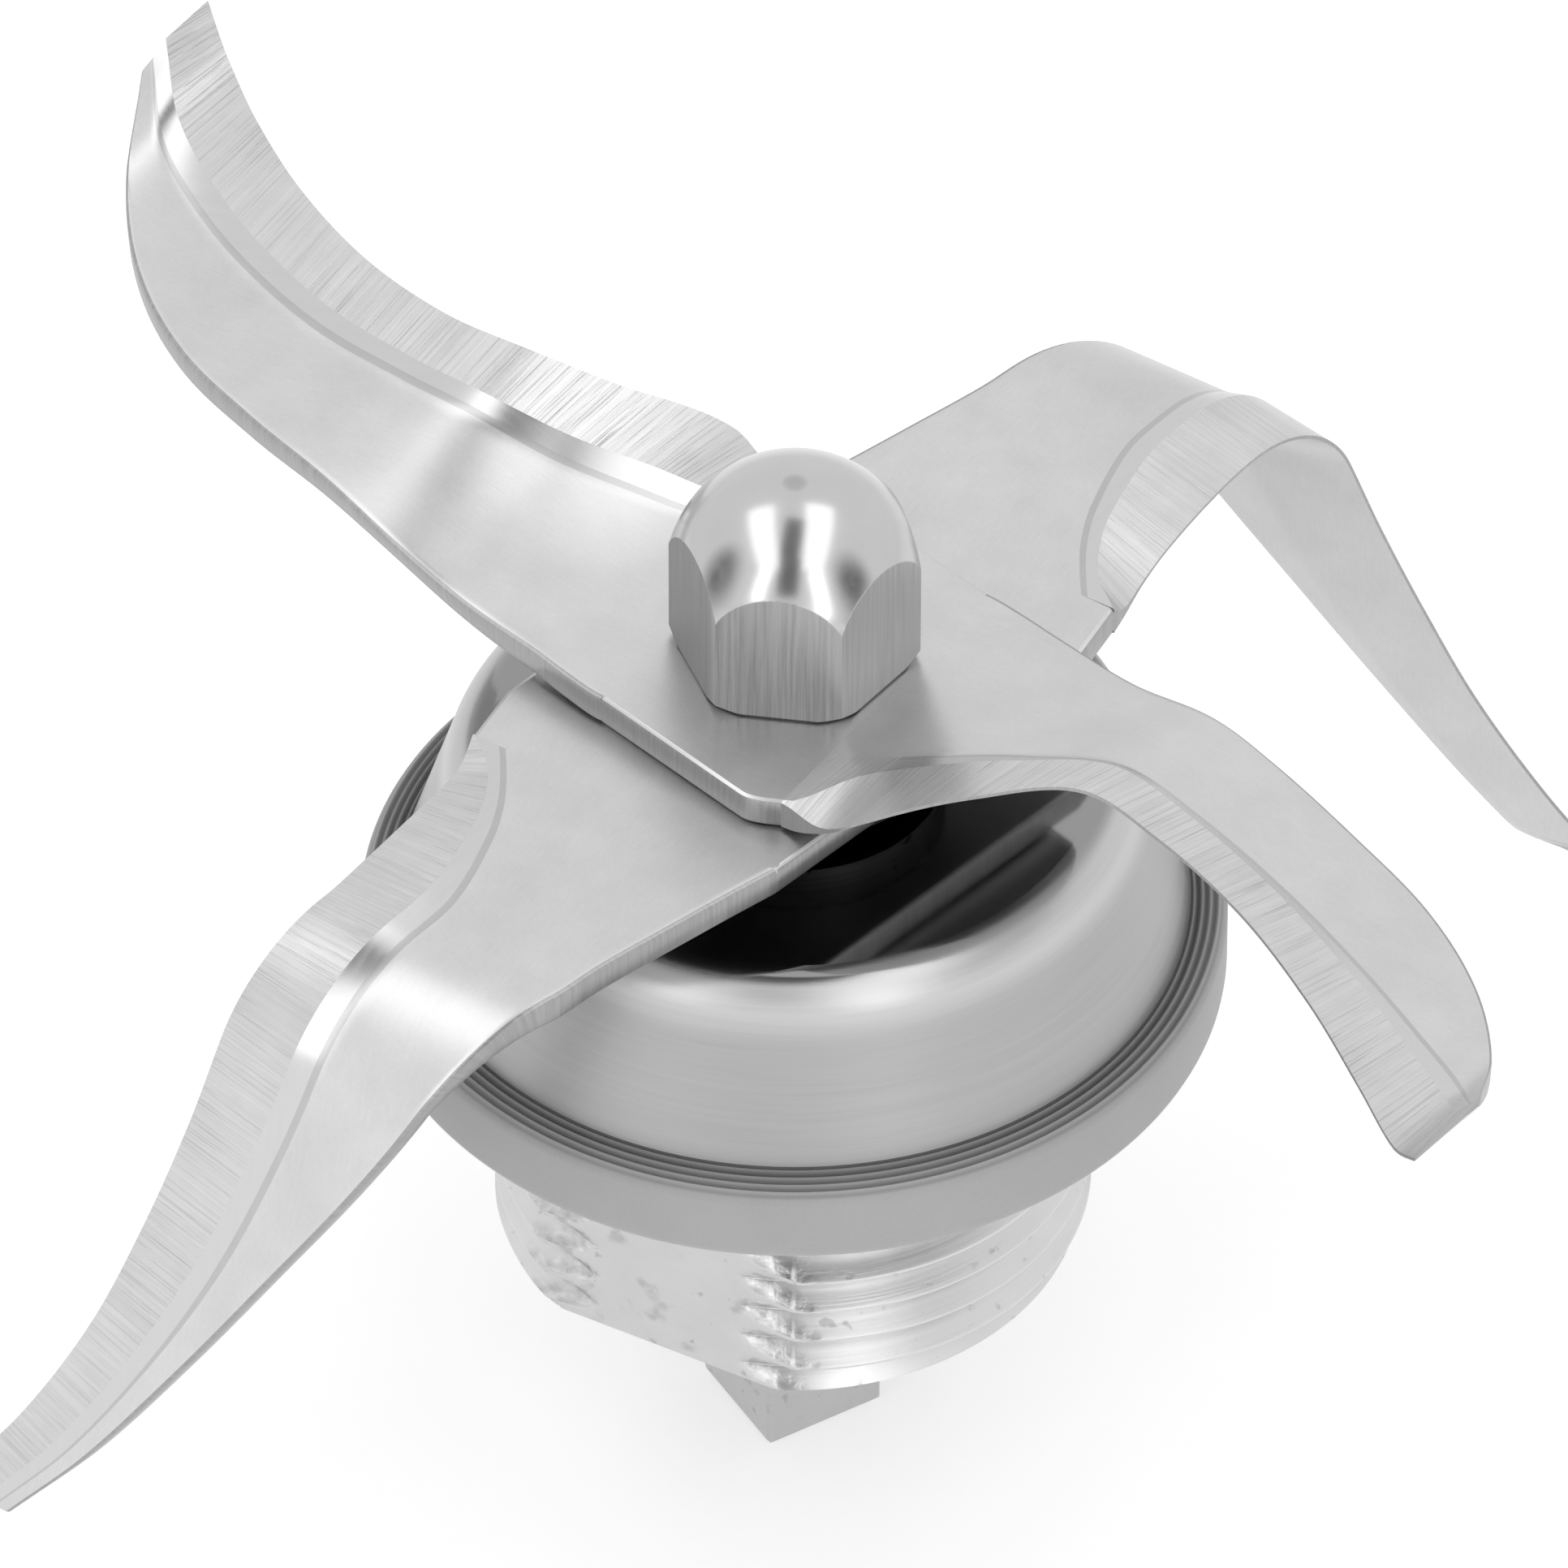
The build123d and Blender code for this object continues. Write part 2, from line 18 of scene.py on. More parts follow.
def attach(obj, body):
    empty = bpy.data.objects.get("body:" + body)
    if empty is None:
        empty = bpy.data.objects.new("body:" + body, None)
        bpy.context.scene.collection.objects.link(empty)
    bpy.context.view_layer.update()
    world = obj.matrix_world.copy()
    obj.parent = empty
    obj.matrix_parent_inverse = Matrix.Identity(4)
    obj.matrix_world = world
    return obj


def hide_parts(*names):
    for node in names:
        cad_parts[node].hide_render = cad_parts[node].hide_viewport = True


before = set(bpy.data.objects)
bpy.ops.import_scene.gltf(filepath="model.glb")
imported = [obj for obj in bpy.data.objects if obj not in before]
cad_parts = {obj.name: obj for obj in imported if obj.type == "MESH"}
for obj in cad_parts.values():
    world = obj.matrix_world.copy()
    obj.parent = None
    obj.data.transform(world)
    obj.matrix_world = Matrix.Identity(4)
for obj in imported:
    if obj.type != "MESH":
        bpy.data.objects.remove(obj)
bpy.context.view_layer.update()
LOG = logging.getLogger("blade_unit")
MM = 0.001
ORIGIN = (0.0, 0.0, 0.0)
UPRIGHT = Vector((0.0, 0.0, 1.0))

# Turns and heights of the blades, and sizes that more than one piece or finish follows
UPPER_TURN = 146.0
UPPER_TOP = 25.6
LOWER_TURN = -122.7
LOWER_TOP = 23.45
THREAD_R = 18.0
FLAT_DEPTH = 2.2
FLAT_TURN = -118.0
RIDGE = 0.5

TOOL_LINES = 5200.0   # waves per metre that a turning tool leaves
MATT = 0.9            # roughness of the studio's paint
CREASE = math.radians(38.0)   # faces that meet at more than this keep a hard edge

Socket = bpy.types.NodeSocket
Piece = bpy.types.Object
Mesh = bmesh.types.BMesh
Feed = Union["Value", Socket, float, tuple]


class Value:
    """A number that varies over a surface, held as the socket of a node that gives it."""

    def __init__(self, nodes: "Nodes", socket: Socket) -> None:
        """Keeps the socket and the tree that it belongs to."""
        self.nodes = nodes
        self.socket = socket

    def maths(self, operation: str, first: Feed, second: Feed = 0.0) -> "Value":
        """The result of one Math node."""
        return self.nodes.value("ShaderNodeMath", {"operation": operation}, {0: first, 1: second})

    def __add__(self, other: Feed) -> "Value":
        """Sum."""
        return self.maths("ADD", self, other)

    def __radd__(self, other: Feed) -> "Value":
        """Sum, the number first."""
        return self.maths("ADD", other, self)

    def __sub__(self, other: Feed) -> "Value":
        """Difference."""
        return self.maths("SUBTRACT", self, other)

    def __rsub__(self, other: Feed) -> "Value":
        """Difference, the number first."""
        return self.maths("SUBTRACT", other, self)

    def __mul__(self, other: Feed) -> "Value":
        """Product."""
        return self.maths("MULTIPLY", self, other)

    def __pow__(self, other: Feed) -> "Value":
        """Power."""
        return self.maths("POWER", self, other)

    def __abs__(self) -> "Value":
        """Size without its sign."""
        return self.maths("ABSOLUTE", self)

    def at_most(self, other: Feed) -> "Value":
        """The smaller of the two."""
        return self.maths("MINIMUM", self, other)

    def at_least(self, other: Feed) -> "Value":
        """The larger of the two."""
        return self.maths("MAXIMUM", self, other)

    def step(self, low: float, high: float) -> "Value":
        """Smooth step from 0 at low to 1 at high."""
        sockets = {"Value": self, "From Min": low, "From Max": high}
        return self.nodes.value("ShaderNodeMapRange", {"interpolation_type": "SMOOTHSTEP"}, sockets)

    def fade(self, ends: tuple) -> "Value":
        """Smooth step of a length, from 0 at the first end to 1 at the second, in millimetres."""
        return self.step(ends[0] * MM, ends[1] * MM)


class Nodes:
    """The node tree of a material or of the world."""

    def __init__(self, owner: Union[bpy.types.Material, bpy.types.World]) -> None:
        """Starts with an empty tree.

        Args:
            owner: the material or world whose nodes are written.
        """
        owner.use_nodes = True
        self.tree = owner.node_tree
        self.tree.nodes.clear()

    def add(
        self,
        kind: str,
        settings: Optional[dict] = None,
        sockets: Optional[dict] = None,
    ) -> bpy.types.Node:
        """Adds one node.

        Args:
            kind: the node's type.
            settings: its properties, set before its sockets.
            sockets: values or links of its inputs, by name or number.

        Returns:
            The new node.
        """
        node = self.tree.nodes.new(kind)
        for name, setting in (settings or {}).items():
            setattr(node, name, setting)
        for name, value in (sockets or {}).items():
            self.feed(node.inputs[name], value)
        return node

    def value(self, kind: str, settings: Optional[dict], sockets: dict) -> Value:
        """The first output of a new node, as a value to reckon with."""
        return Value(self, self.add(kind, settings, sockets).outputs[0])

    def feed(self, socket: Socket, value: Feed) -> None:
        """Links a socket, or sets its value where a number or colour is given.

        Args:
            socket: the input.
            value: what goes into it.
        """
        if isinstance(value, Value):
            self.tree.links.new(value.socket, socket)
        elif isinstance(value, Socket):
            self.tree.links.new(value, socket)
        else:
            socket.default_value = value

    def place(self) -> Socket:
        """Object coordinates, in metres."""
        return self.add("ShaderNodeTexCoord").outputs["Object"]

    def strip(self) -> Socket:
        """Coordinates along and across a blade's arm, in hundreds of millimetres."""
        return self.add("ShaderNodeUVMap", {"uv_map": BladePlate.STRIP_MAP}).outputs[0]

    def parts_of(self, vector: Socket) -> tuple:
        """The three components of a vector."""
        node = self.add("ShaderNodeSeparateXYZ", None, {0: vector})
        return tuple(Value(self, out) for out in node.outputs)

    def radius(self, x: Value, y: Value) -> Value:
        """Distance from the shaft's axis."""
        return (x * x + y * y) ** 0.5

    def vector(self, x: Feed, y: Feed, z: Feed) -> Socket:
        """A vector from its three components."""
        return self.add("ShaderNodeCombineXYZ", None, {0: x, 1: y, 2: z}).outputs[0]

    def noise(self, vector: Socket, scale: float, octaves: float) -> Value:
        """Noise round zero, from about -0.5 to 0.5, with a number of waves per unit."""
        sockets = {"Vector": vector, "Scale": scale, "Detail": octaves}
        return self.value("ShaderNodeTexNoise", None, sockets) - 0.5

    def bump(self, height: Value, depth: float) -> Socket:
        """A bumped normal, from a height in parts of a depth in millimetres."""
        sockets = {"Height": height, "Distance": depth * MM, "Strength": 1.0}
        return self.add("ShaderNodeBump", None, sockets).outputs[0]

    def tint(self, share: Feed, first: tuple, second: tuple) -> Socket:
        """A colour between two others, at a share from 0 to 1."""
        node = self.add("ShaderNodeMix", {"data_type": "RGBA"}, {0: share, 6: first, 7: second})
        return node.outputs[2]

    def surface(self, sockets: dict) -> None:
        """Closes the tree with the usual surface shader, whose inputs are given by name."""
        shader = self.add("ShaderNodeBsdfPrincipled", None, sockets)
        self.add("ShaderNodeOutputMaterial", None, {"Surface": shader.outputs[0]})

    def metal(self, tone: Value, rough: Value, normal: Socket) -> None:
        """Closes the tree with bare metal."""
        self.surface({"Base Color": tone, "Metallic": 1.0, "Roughness": rough, "Normal": normal})


def grey(tone: float) -> tuple:
    """A neutral colour with full alpha."""
    return (tone, tone, tone, 1.0)


@dataclass(frozen=True)
class Finish:
    """A surface finish: its name, tone and roughness."""

    name: str
    tone: float
    roughness: float

    def material(self) -> bpy.types.Material:
        """Makes the material.

        Returns:
            The new material.
        """
        made = bpy.data.materials.new(self.name)
        self.dress(Nodes(made))
        return made

    def dress(self, nodes: Nodes) -> None:
        """Writes the nodes of the finish; each finish has its own."""
        raise NotImplementedError


class Course(IntEnum):
    """What the noise of a layer follows."""

    PLACE = 0   # the object's own x, y and z
    STRIP = 1   # along and across an arm
    SIDE = 2    # along an arm, and height
    ROUND = 3   # distance from the axis, and height
    AXES = 4    # the object's own x, y and z, each with its own number of waves


@dataclass(frozen=True)
class Layer:
    """One noise of a finish, and how much of it goes into tone, roughness and relief.

    Its waves are counted per metre, or along and across an arm per unit of the strip map.
    """

    course: Course
    waves: tuple
    octaves: float
    tone: float = 0.0
    rough: float = 0.0
    relief: float = 0.0
    slant: float = 0.0
    shift: float = 0.0
    # where given, the noise becomes spots: none below the first level, full above the second
    levels: tuple = ()

    def draw(self, nodes: Nodes) -> Value:
        """Adds the layer's noise to a tree.

        Args:
            nodes: the material's tree.

        Returns:
            The noise, or its spots where the layer has levels.
        """
        if self.course == Course.PLACE:
            noise = nodes.noise(nodes.place(), self.waves[0], self.octaves)
        else:
            runs = [axis * count for axis, count in zip(self.axes(nodes), self.waves)]
            spot = nodes.vector(*(runs + [self.shift])[:3])
            noise = nodes.noise(spot, 1.0, self.octaves)
        return noise.step(*self.levels) if self.levels else noise

    def axes(self, nodes: Nodes) -> tuple:
        """The coordinates that the noise runs over.

        Args:
            nodes: the material's tree.

        Returns:
            The coordinates as values.
        """
        if self.course == Course.STRIP:
            along, across, _ = nodes.parts_of(nodes.strip())
            return along + across * self.slant, across
        x, y, z = nodes.parts_of(nodes.place())
        if self.course == Course.AXES:
            return x, y, z
        if self.course == Course.ROUND:
            return nodes.radius(x, y), z
        return nodes.parts_of(nodes.strip())[0], z


def add_up(base: Feed, noises: dict, part: str) -> Feed:
    """Adds what layers do to the tone, the roughness or the relief to a base.

    Args:
        base: the base.
        noises: the drawn noise of each layer.
        part: name of the layers' share in it.

    Returns:
        The sum.
    """
    for layer, noise in noises.items():
        share = getattr(layer, part)
        if share:
            base = base + noise * share
    return base


@dataclass(frozen=True)
class Layered(Finish):
    """A finish made of layers of noise on an even base."""

    depth: float
    layers: tuple
    metallic: float = 1.0

    def dress(self, nodes: Nodes) -> None:
        """Adds up the layers.

        Args:
            nodes: the material's tree.
        """
        noises = {layer: layer.draw(nodes) for layer in self.layers}
        nodes.surface(
            {
                "Base Color": self.shaded(nodes, add_up(self.tone, noises, "tone")),
                "Metallic": self.metallic,
                "Roughness": add_up(self.roughness, noises, "rough"),
                "Normal": nodes.bump(add_up(0.0, noises, "relief"), self.depth),
            }
        )

    def shaded(self, nodes: Nodes, tone: Value) -> Feed:
        """The tone as it is; a finish of its own may change it."""
        return tone


@dataclass(frozen=True)
class DrawnCup(Finish):
    """Drawn steel: polished flat top darkened with painted shade, satin wall with fine lines round it
    and a painted highlight on its shoulder.
    """

    top_z: float = 16.97
    wall_z: float = 16.5
    mirror: float = 0.08
    # painted shade: tone of the polished flat top, dark as the shade under the blades
    top_shade_tone: float = 0.3
    # painted highlight on the shoulder: how much brighter it is, and between which heights that
    # starts
    shoulder: float = 0.14
    shoulder_highlight_z: tuple = (13.0, 15.5)
    # whole and broken lines round the wall, what both do, and how much of them the polish takes off
    rings: Layer = Layer(Course.ROUND, (9000.0, 9000.0), 2.0, relief=0.5)
    broken: Layer = Layer(Course.AXES, (90.0, 90.0, 2600.0), 2.0, relief=0.7)
    line_tone: float = 0.1
    line_rough: float = 0.12
    line_depth: float = 0.005
    polish: float = 0.85
    cloud: Layer = Layer(Course.PLACE, (60.0,), 2.0, tone=0.06, rough=0.05)

    def dress(self, nodes: Nodes) -> None:
        """Writes the lines round the wall and the polished top.

        Args:
            nodes: the material's tree.
        """
        z = nodes.parts_of(nodes.place())[2]
        top = z.fade((self.wall_z, self.top_z))
        round_wall = {layer: layer.draw(nodes) for layer in (self.rings, self.broken)}
        lines = add_up(0.0, round_wall, "relief") * (1.0 - top * self.polish)
        cloud = {self.cloud: self.cloud.draw(nodes)}
        # wall tone with the painted highlight on the shoulder
        plain = self.tone + z.fade(self.shoulder_highlight_z) * self.shoulder
        # the top takes the painted shade's tone
        tone = plain + (self.top_shade_tone - plain) * top + lines * self.line_tone
        satin = add_up(self.roughness + lines * self.line_rough, cloud, "rough")
        rough = satin + (self.mirror - satin) * top
        nodes.metal(add_up(tone, cloud, "tone"), rough, nodes.bump(lines, self.line_depth))


@dataclass(frozen=True)
class NutSteel(Finish):
    """Cap nut: polished dome with painted dark reflections, flats ground along the axis, painted
    shade on the left flats and a painted shadow at the foot.
    """

    across: float = 13.0
    turn: float = -8.3
    mirror: float = 0.2
    flat_tone: float = 0.46
    foot_z: float = UPPER_TOP
    flat_fade: tuple = (-0.05, -0.01)
    # painted dark reflections on the dome: where they are, from where to where they fade, and what
    # they do
    dark_reflection_r: float = 6.2
    dark_reflection_turns: tuple = (-134.0, -57.0)
    dark_reflection_fade: tuple = (1.7, 0.2)
    dark_reflection_tone: float = 0.38
    dark_reflection_rough: float = 0.15
    centre_fade: tuple = (0.9, 0.2)
    centre_tone: float = 0.12
    # painted shade on the flats on the left, and a painted shadow line at the foot
    shade: float = 0.22
    shade_x: tuple = (-5.2, -4.4)
    foot_shadow_fade: tuple = (0.22, 0.1)
    foot_shadow_tone: float = 0.8
    # grinding lines on the flats, and wiping marks on the dome
    lines: Layer = Layer(Course.AXES, (4600.0, 4600.0, 130.0), 3.0, tone=0.22, rough=0.2)
    line_depth: float = 0.02
    wipe: Layer = Layer(Course.PLACE, (500.0,), 3.0, tone=0.05, rough=0.06)

    def dress(self, nodes: Nodes) -> None:
        """Finds the flats by their distance from the axis and grinds them.

        Args:
            nodes: the material's tree.
        """
        x, y, z = nodes.parts_of(nodes.place())
        flats = [level(self.turn + 30.0 + 60.0 * step) for step in range(3)]
        reach = reduce(Value.at_least, [abs(x * to.x + y * to.y) for to in flats])
        middles = [level(turn) * self.dark_reflection_r * MM for turn in self.dark_reflection_turns]
        spots = reduce(Value.at_most, [nodes.radius(x - at.x, y - at.y) for at in middles])
        flat = (reach - self.across / 2 * MM).fade(self.flat_fade)
        lines = self.lines.draw(nodes)
        wipe = self.wipe.draw(nodes)
        # dull: the painted dark reflections on the dome, none on the flats
        dull = spots.fade(self.dark_reflection_fade) * (1.0 - flat) * (1.0 + wipe)
        # painted shade on the flats on the left
        shade = x.fade(self.shade_x) * self.shade - self.shade
        # foot: painted shadow line where the nut sits on the hub
        foot = (z - self.foot_z * MM).fade(self.foot_shadow_fade)
        ground = self.roughness + lines * self.lines.rough
        polish = self.mirror + wipe * self.wipe.rough + dull * self.dark_reflection_rough
        rough = polish + (ground - polish) * flat
        outer, inner = self.centre_fade
        centre = (x * x + y * y).step((outer * MM) ** 2, (inner * MM) ** 2) * self.centre_tone
        # dome tone: wiping marks, the turning centre and the painted dark reflections
        dome_with_wipes_and_painted_reflections = self.tone + wipe * self.wipe.tone - dull * self.dark_reflection_tone - centre
        cut = self.flat_tone + lines * self.lines.tone + shade
        tone = (dome_with_wipes_and_painted_reflections + (cut - dome_with_wipes_and_painted_reflections) * flat) * (1.0 - foot * self.foot_shadow_tone)
        nodes.metal(tone, rough, nodes.bump(lines * flat, self.line_depth))


@dataclass(frozen=True)
class NeckAlloy(Finish):
    """Light alloy of the neck: bright cut thread, dull flat with stains."""

    flat_at: float = THREAD_R - FLAT_DEPTH
    flat_fade: tuple = (0.05, 0.02)
    flat_tone: float = 0.06
    flat_rough: float = 0.16
    # torn ends of the thread, just under the flat's level
    torn_fade: tuple = (-1.2, -0.4)
    torn_tone: float = 0.08
    depth: float = 0.008
    tool: Layer = Layer(Course.ROUND, (TOOL_LINES, TOOL_LINES), 2.0, tone=0.05, rough=0.06)
    stain: Layer = Layer(Course.PLACE, (260.0,), 4.0, tone=0.1, rough=0.1)
    speck: Layer = Layer(Course.PLACE, (900.0,), 3.0, -0.12, 0.12, -0.6, levels=(0.14, 0.24))
    smear: Layer = Layer(Course.PLACE, (420.0,), 5.0, tone=-0.12, levels=(0.08, 0.2))
    tear: Layer = Layer(Course.AXES, (1100.0, 1100.0, 1900.0), 4.0, tone=0.7, relief=9.0)

    def dress(self, nodes: Nodes) -> None:
        """Writes tool lines on the thread, and stains and pits on the flat.

        Args:
            nodes: the material's tree.
        """
        x, y, _ = nodes.parts_of(nodes.place())
        facing = level(FLAT_TURN)
        above = x * facing.x + y * facing.y - self.flat_at * MM
        flat = abs(above).fade(self.flat_fade)
        torn = above.fade(self.torn_fade) * (1.0 - flat)
        noises = {layer: layer.draw(nodes) for layer in (self.tool, self.stain, self.speck)}
        noises[self.smear] = self.smear.draw(nodes) * flat
        noises[self.tear] = self.tear.draw(nodes) * torn
        tone = add_up(self.tone, noises, "tone") - flat * self.flat_tone - torn * self.torn_tone
        rough = add_up(self.roughness, noises, "rough") + flat * self.flat_rough
        ground = noises[self.tool] * (1.0 - flat) + noises[self.stain] * flat
        relief = nodes.bump(add_up(ground, noises, "relief"), self.depth)
        nodes.metal(tone, rough, relief)


@dataclass(frozen=True)
class RidgedSeal(Layered):
    """Sealing ring: matt rubber, with painted shade on its top, deepest between its ridges and beside
    the cup.
    """

    inner_r: float = 23.6
    outer_r: float = 25.75
    rim: float = 0.25
    even_shade: float = 0.2
    cup_shade: float = 0.42
    ridge_shade: float = 0.2

    def shaded(self, nodes: Nodes, tone: Value) -> Feed:
        """Darkens the ring's top with painted shade.

        Args:
            nodes: the material's tree.
            tone: the even rubber's tone.

        Returns:
            The darkened tone.
        """
        x, y, _ = nodes.parts_of(nodes.place())
        radius = nodes.radius(x, y)
        top = radius.fade((self.outer_r, self.outer_r - self.rim))
        near = radius.fade((self.outer_r, self.inner_r))
        wave = radius.maths("SINE", radius * (2 * math.pi / (RIDGE * MM)))
        # painted shade: even over the top, more beside the cup and between the ridges
        shade = (self.even_shade + near * self.cup_shade + wave * self.ridge_shade) * top
        return tone * (1.0 - shade.at_least(0.0))


@dataclass(frozen=True)
class MouldedResin(Layered):
    """Moulded cage resin: slightly warm, with flow marks."""

    dark: tuple = (0.5, 0.46, 0.36, 1.0)
    light: tuple = (0.62, 0.58, 0.47, 1.0)

    def shaded(self, nodes: Nodes, tone: Value) -> Feed:
        """The colour between the dark and the light one, by the tone."""
        return nodes.tint(tone, self.dark, self.light)


def level(turn: float) -> Vector:
    """Level direction at a turn about the axis, in degrees."""
    return Vector((math.cos(math.radians(turn)), math.sin(math.radians(turn)), 0.0))


def round_spot(vert: bmesh.types.BMVert, radius: float, height: float) -> Vector:
    """Place at a radius and height, on the side of the axis where a vertex is."""
    angle = math.atan2(vert.co.y, vert.co.x)
    return Vector((radius * math.cos(angle), radius * math.sin(angle), height))


def spin(
    bm: Mesh, points: list, steps: int, closed: bool = True, drop: float = 0.0
) -> None:
    """Turns a line once round the axis.

    Args:
        bm: the mesh.
        points: the line, as pairs of radius and height.
        steps: number of steps in the turn.
        closed: whether the line and the turn end where they start.
        drop: how far the line sinks in the turn.
    """
    line = [bm.verts.new((radius * MM, 0.0, height * MM)) for radius, height in points]
    ends = line[1:] + line[:1] if closed else line[1:]
    edges = [bm.edges.new(pair) for pair in zip(line, ends)]
    bmesh.ops.spin(
        bm,
        geom=line + edges,
        cent=ORIGIN,
        axis=UPRIGHT,
        dvec=(0.0, 0.0, -drop * MM / steps),
        angle=2 * math.pi,
        steps=steps,
        use_merge=closed,
    )


def put(bm: Mesh, name: str, finishes: tuple) -> Piece:
    """Turns a mesh in the making into an object at the origin.

    Args:
        bm: the mesh; it is freed.
        name: the object's name.
        finishes: the finishes of its material slots, in order.

    Returns:
        The object.
    """
    mesh = bpy.data.meshes.new(name)
    bm.to_mesh(mesh)
    bm.free()
    for finish in finishes:
        mesh.materials.append(finish.material())
    made = bpy.data.objects.new(name, mesh)
    bpy.context.scene.collection.objects.link(made)
    return made


def finish_piece(bm: Mesh, name: str, finishes: tuple) -> Piece:
    """Shades a mesh smooth between its creases and makes it an object.

    Args:
        bm: the mesh; it is freed.
        name: the object's name.
        finishes: the finishes of its material slots, in order.

    Returns:
        The object.
    """
    bmesh.ops.recalc_face_normals(bm, faces=bm.faces[:])
    for face in bm.faces:
        face.smooth = True
    for edge in bm.edges:
        if len(edge.link_faces) == 2 and edge.calc_face_angle(0.0) > CREASE:
            edge.smooth = False
    return put(bm, name, finishes)


def smooth_row(rows: tuple, at: float, still_start: bool = False) -> list:
    """Reads a table of stations between its rows, on a smooth curve through them.

    Args:
        rows: the stations, the distance first in each.
        at: the distance that is wanted.
        still_start: whether the curves leave the first row level.

    Returns:
        The values at that distance, without the distance.
    """
    last = len(rows) - 1
    index = 0
    while index < last - 1 and at > rows[index + 1][0]:
        index += 1

    def tangent(row: int, column: int) -> float:
        """Slope of a column at a row."""
        if row == 0 and still_start:
            return 0.0
        before = rows[max(row - 1, 0)]
        after = rows[min(row + 1, last)]
        return (after[column] - before[column]) / (after[0] - before[0])

    low, high = rows[index], rows[index + 1]
    gap = high[0] - low[0]
    t = (at - low[0]) / gap
    weights = (
        2 * t**3 - 3 * t**2 + 1,
        (t**3 - 2 * t**2 + t) * gap,
        -2 * t**3 + 3 * t**2,
        (t**3 - t**2) * gap,
    )
    return [
        weights[0] * low[column]
        + weights[1] * tangent(index, column)
        + weights[2] * high[column]
        + weights[3] * tangent(index + 1, column)
        for column in range(1, len(low))
    ]


class Zone(IntEnum):
    """The finishes of a blade, in the order of its material slots."""

    SHEET = 0
    RAMP = 1
    GRIND = 2
    SIDE = 3
    GROOVE = 4


@dataclass(frozen=True)
class Section:
    """One cut across a blade's arm."""

    SOFT = 0.3       # round of the back edge, at most
    KEEP = 0.35      # flat beside a round or a bend, at most
    BEND = 0.45      # half the bend at the groove, at most
    CHORD = 0.29     # where the middle of a round lies, in parts of it
    SAG = 0.25       # how far the middle of the bend has risen, in parts of it

    run: float
    place: Vector
    side: Vector
    up: Vector
    edge_set: float
    ground: float
    back: float
    groove: float
    cut: float

    def zones(self, run_in: float) -> tuple:
        """Finishes round the outline; where the grind runs in, it takes the ramp's place.

        Args:
            run_in: how far the edge is ground where the run-in ends.

        Returns:
            The finish of each side of the outline.
        """
        if self.ground > run_in:
            return OUTLINE_ZONES
        pressed = (Zone.GROOVE, Zone.RAMP)
        return tuple(Zone.GRIND if zone in pressed else zone for zone in OUTLINE_ZONES)

    def outline(self, sheet: float, land: float, share: float, lift: float) -> list:
        """Outline of the cut, from the top of the back side round to its foot.

        Args:
            sheet: thickness of the sheet.
            land: flat that is left on the cutting edge where it is fully ground.
            share: part of the set edge that is ramp there.
            lift: how much the underside is taken off.

        Returns:
            Points as pairs: distance towards the cutting edge, and height.
        """
        rise = math.tan(math.radians(self.edge_set))
        ramp = self.cut - self.ground * (1 - share) * (self.cut - self.groove)
        tip = (self.cut - self.groove) * rise - sheet
        left_over = sheet - self.ground * (sheet - land)
        under = sheet - lift
        width = self.groove - self.back
        soft = min(self.SOFT, 0.2 * width)
        keep = min(self.KEEP, 0.1 * width)
        turn = min(self.BEND, 0.15 * width, 0.4 * (ramp - self.groove))
        chord = self.CHORD * soft
        left = self.back + soft + keep
        right = self.groove - turn - keep
        bend = [
            (self.groove - turn, 0.0),
            (self.groove, self.SAG * turn * rise),
            (self.groove + turn, turn * rise),
        ]
        top = [
            (self.back, -soft),
            (self.back + chord, -chord),
            (self.back + soft, 0.0),
            (left, 0.0),
            (left + (right - left) / 3, 0.0),
            (left + (right - left) * 2 / 3, 0.0),
            (right, 0.0),
        ]
        edge = [
            (ramp, (ramp - self.groove) * rise),
            (self.cut, tip + left_over),
            (self.cut, tip),
        ]
        below = [
            (right, -under),
            (left, -under),
            (self.back + soft, -under),
            (self.back + chord, chord - under),
            (self.back, soft - under),
        ]
        return top + bend + edge + [(q, h - under) for q, h in reversed(bend)] + below


# finish of each side of the outline, and the points that keep a hard edge along the arm
OUTLINE_ZONES = (
    (Zone.SIDE,) * 2
    + (Zone.SHEET,) * 6
    + (Zone.GROOVE, Zone.RAMP, Zone.GRIND, Zone.SIDE)
    + (Zone.SHEET,) * 6
    + (Zone.SIDE,) * 3
)
CRISP_POINTS = (10, 11, 12)


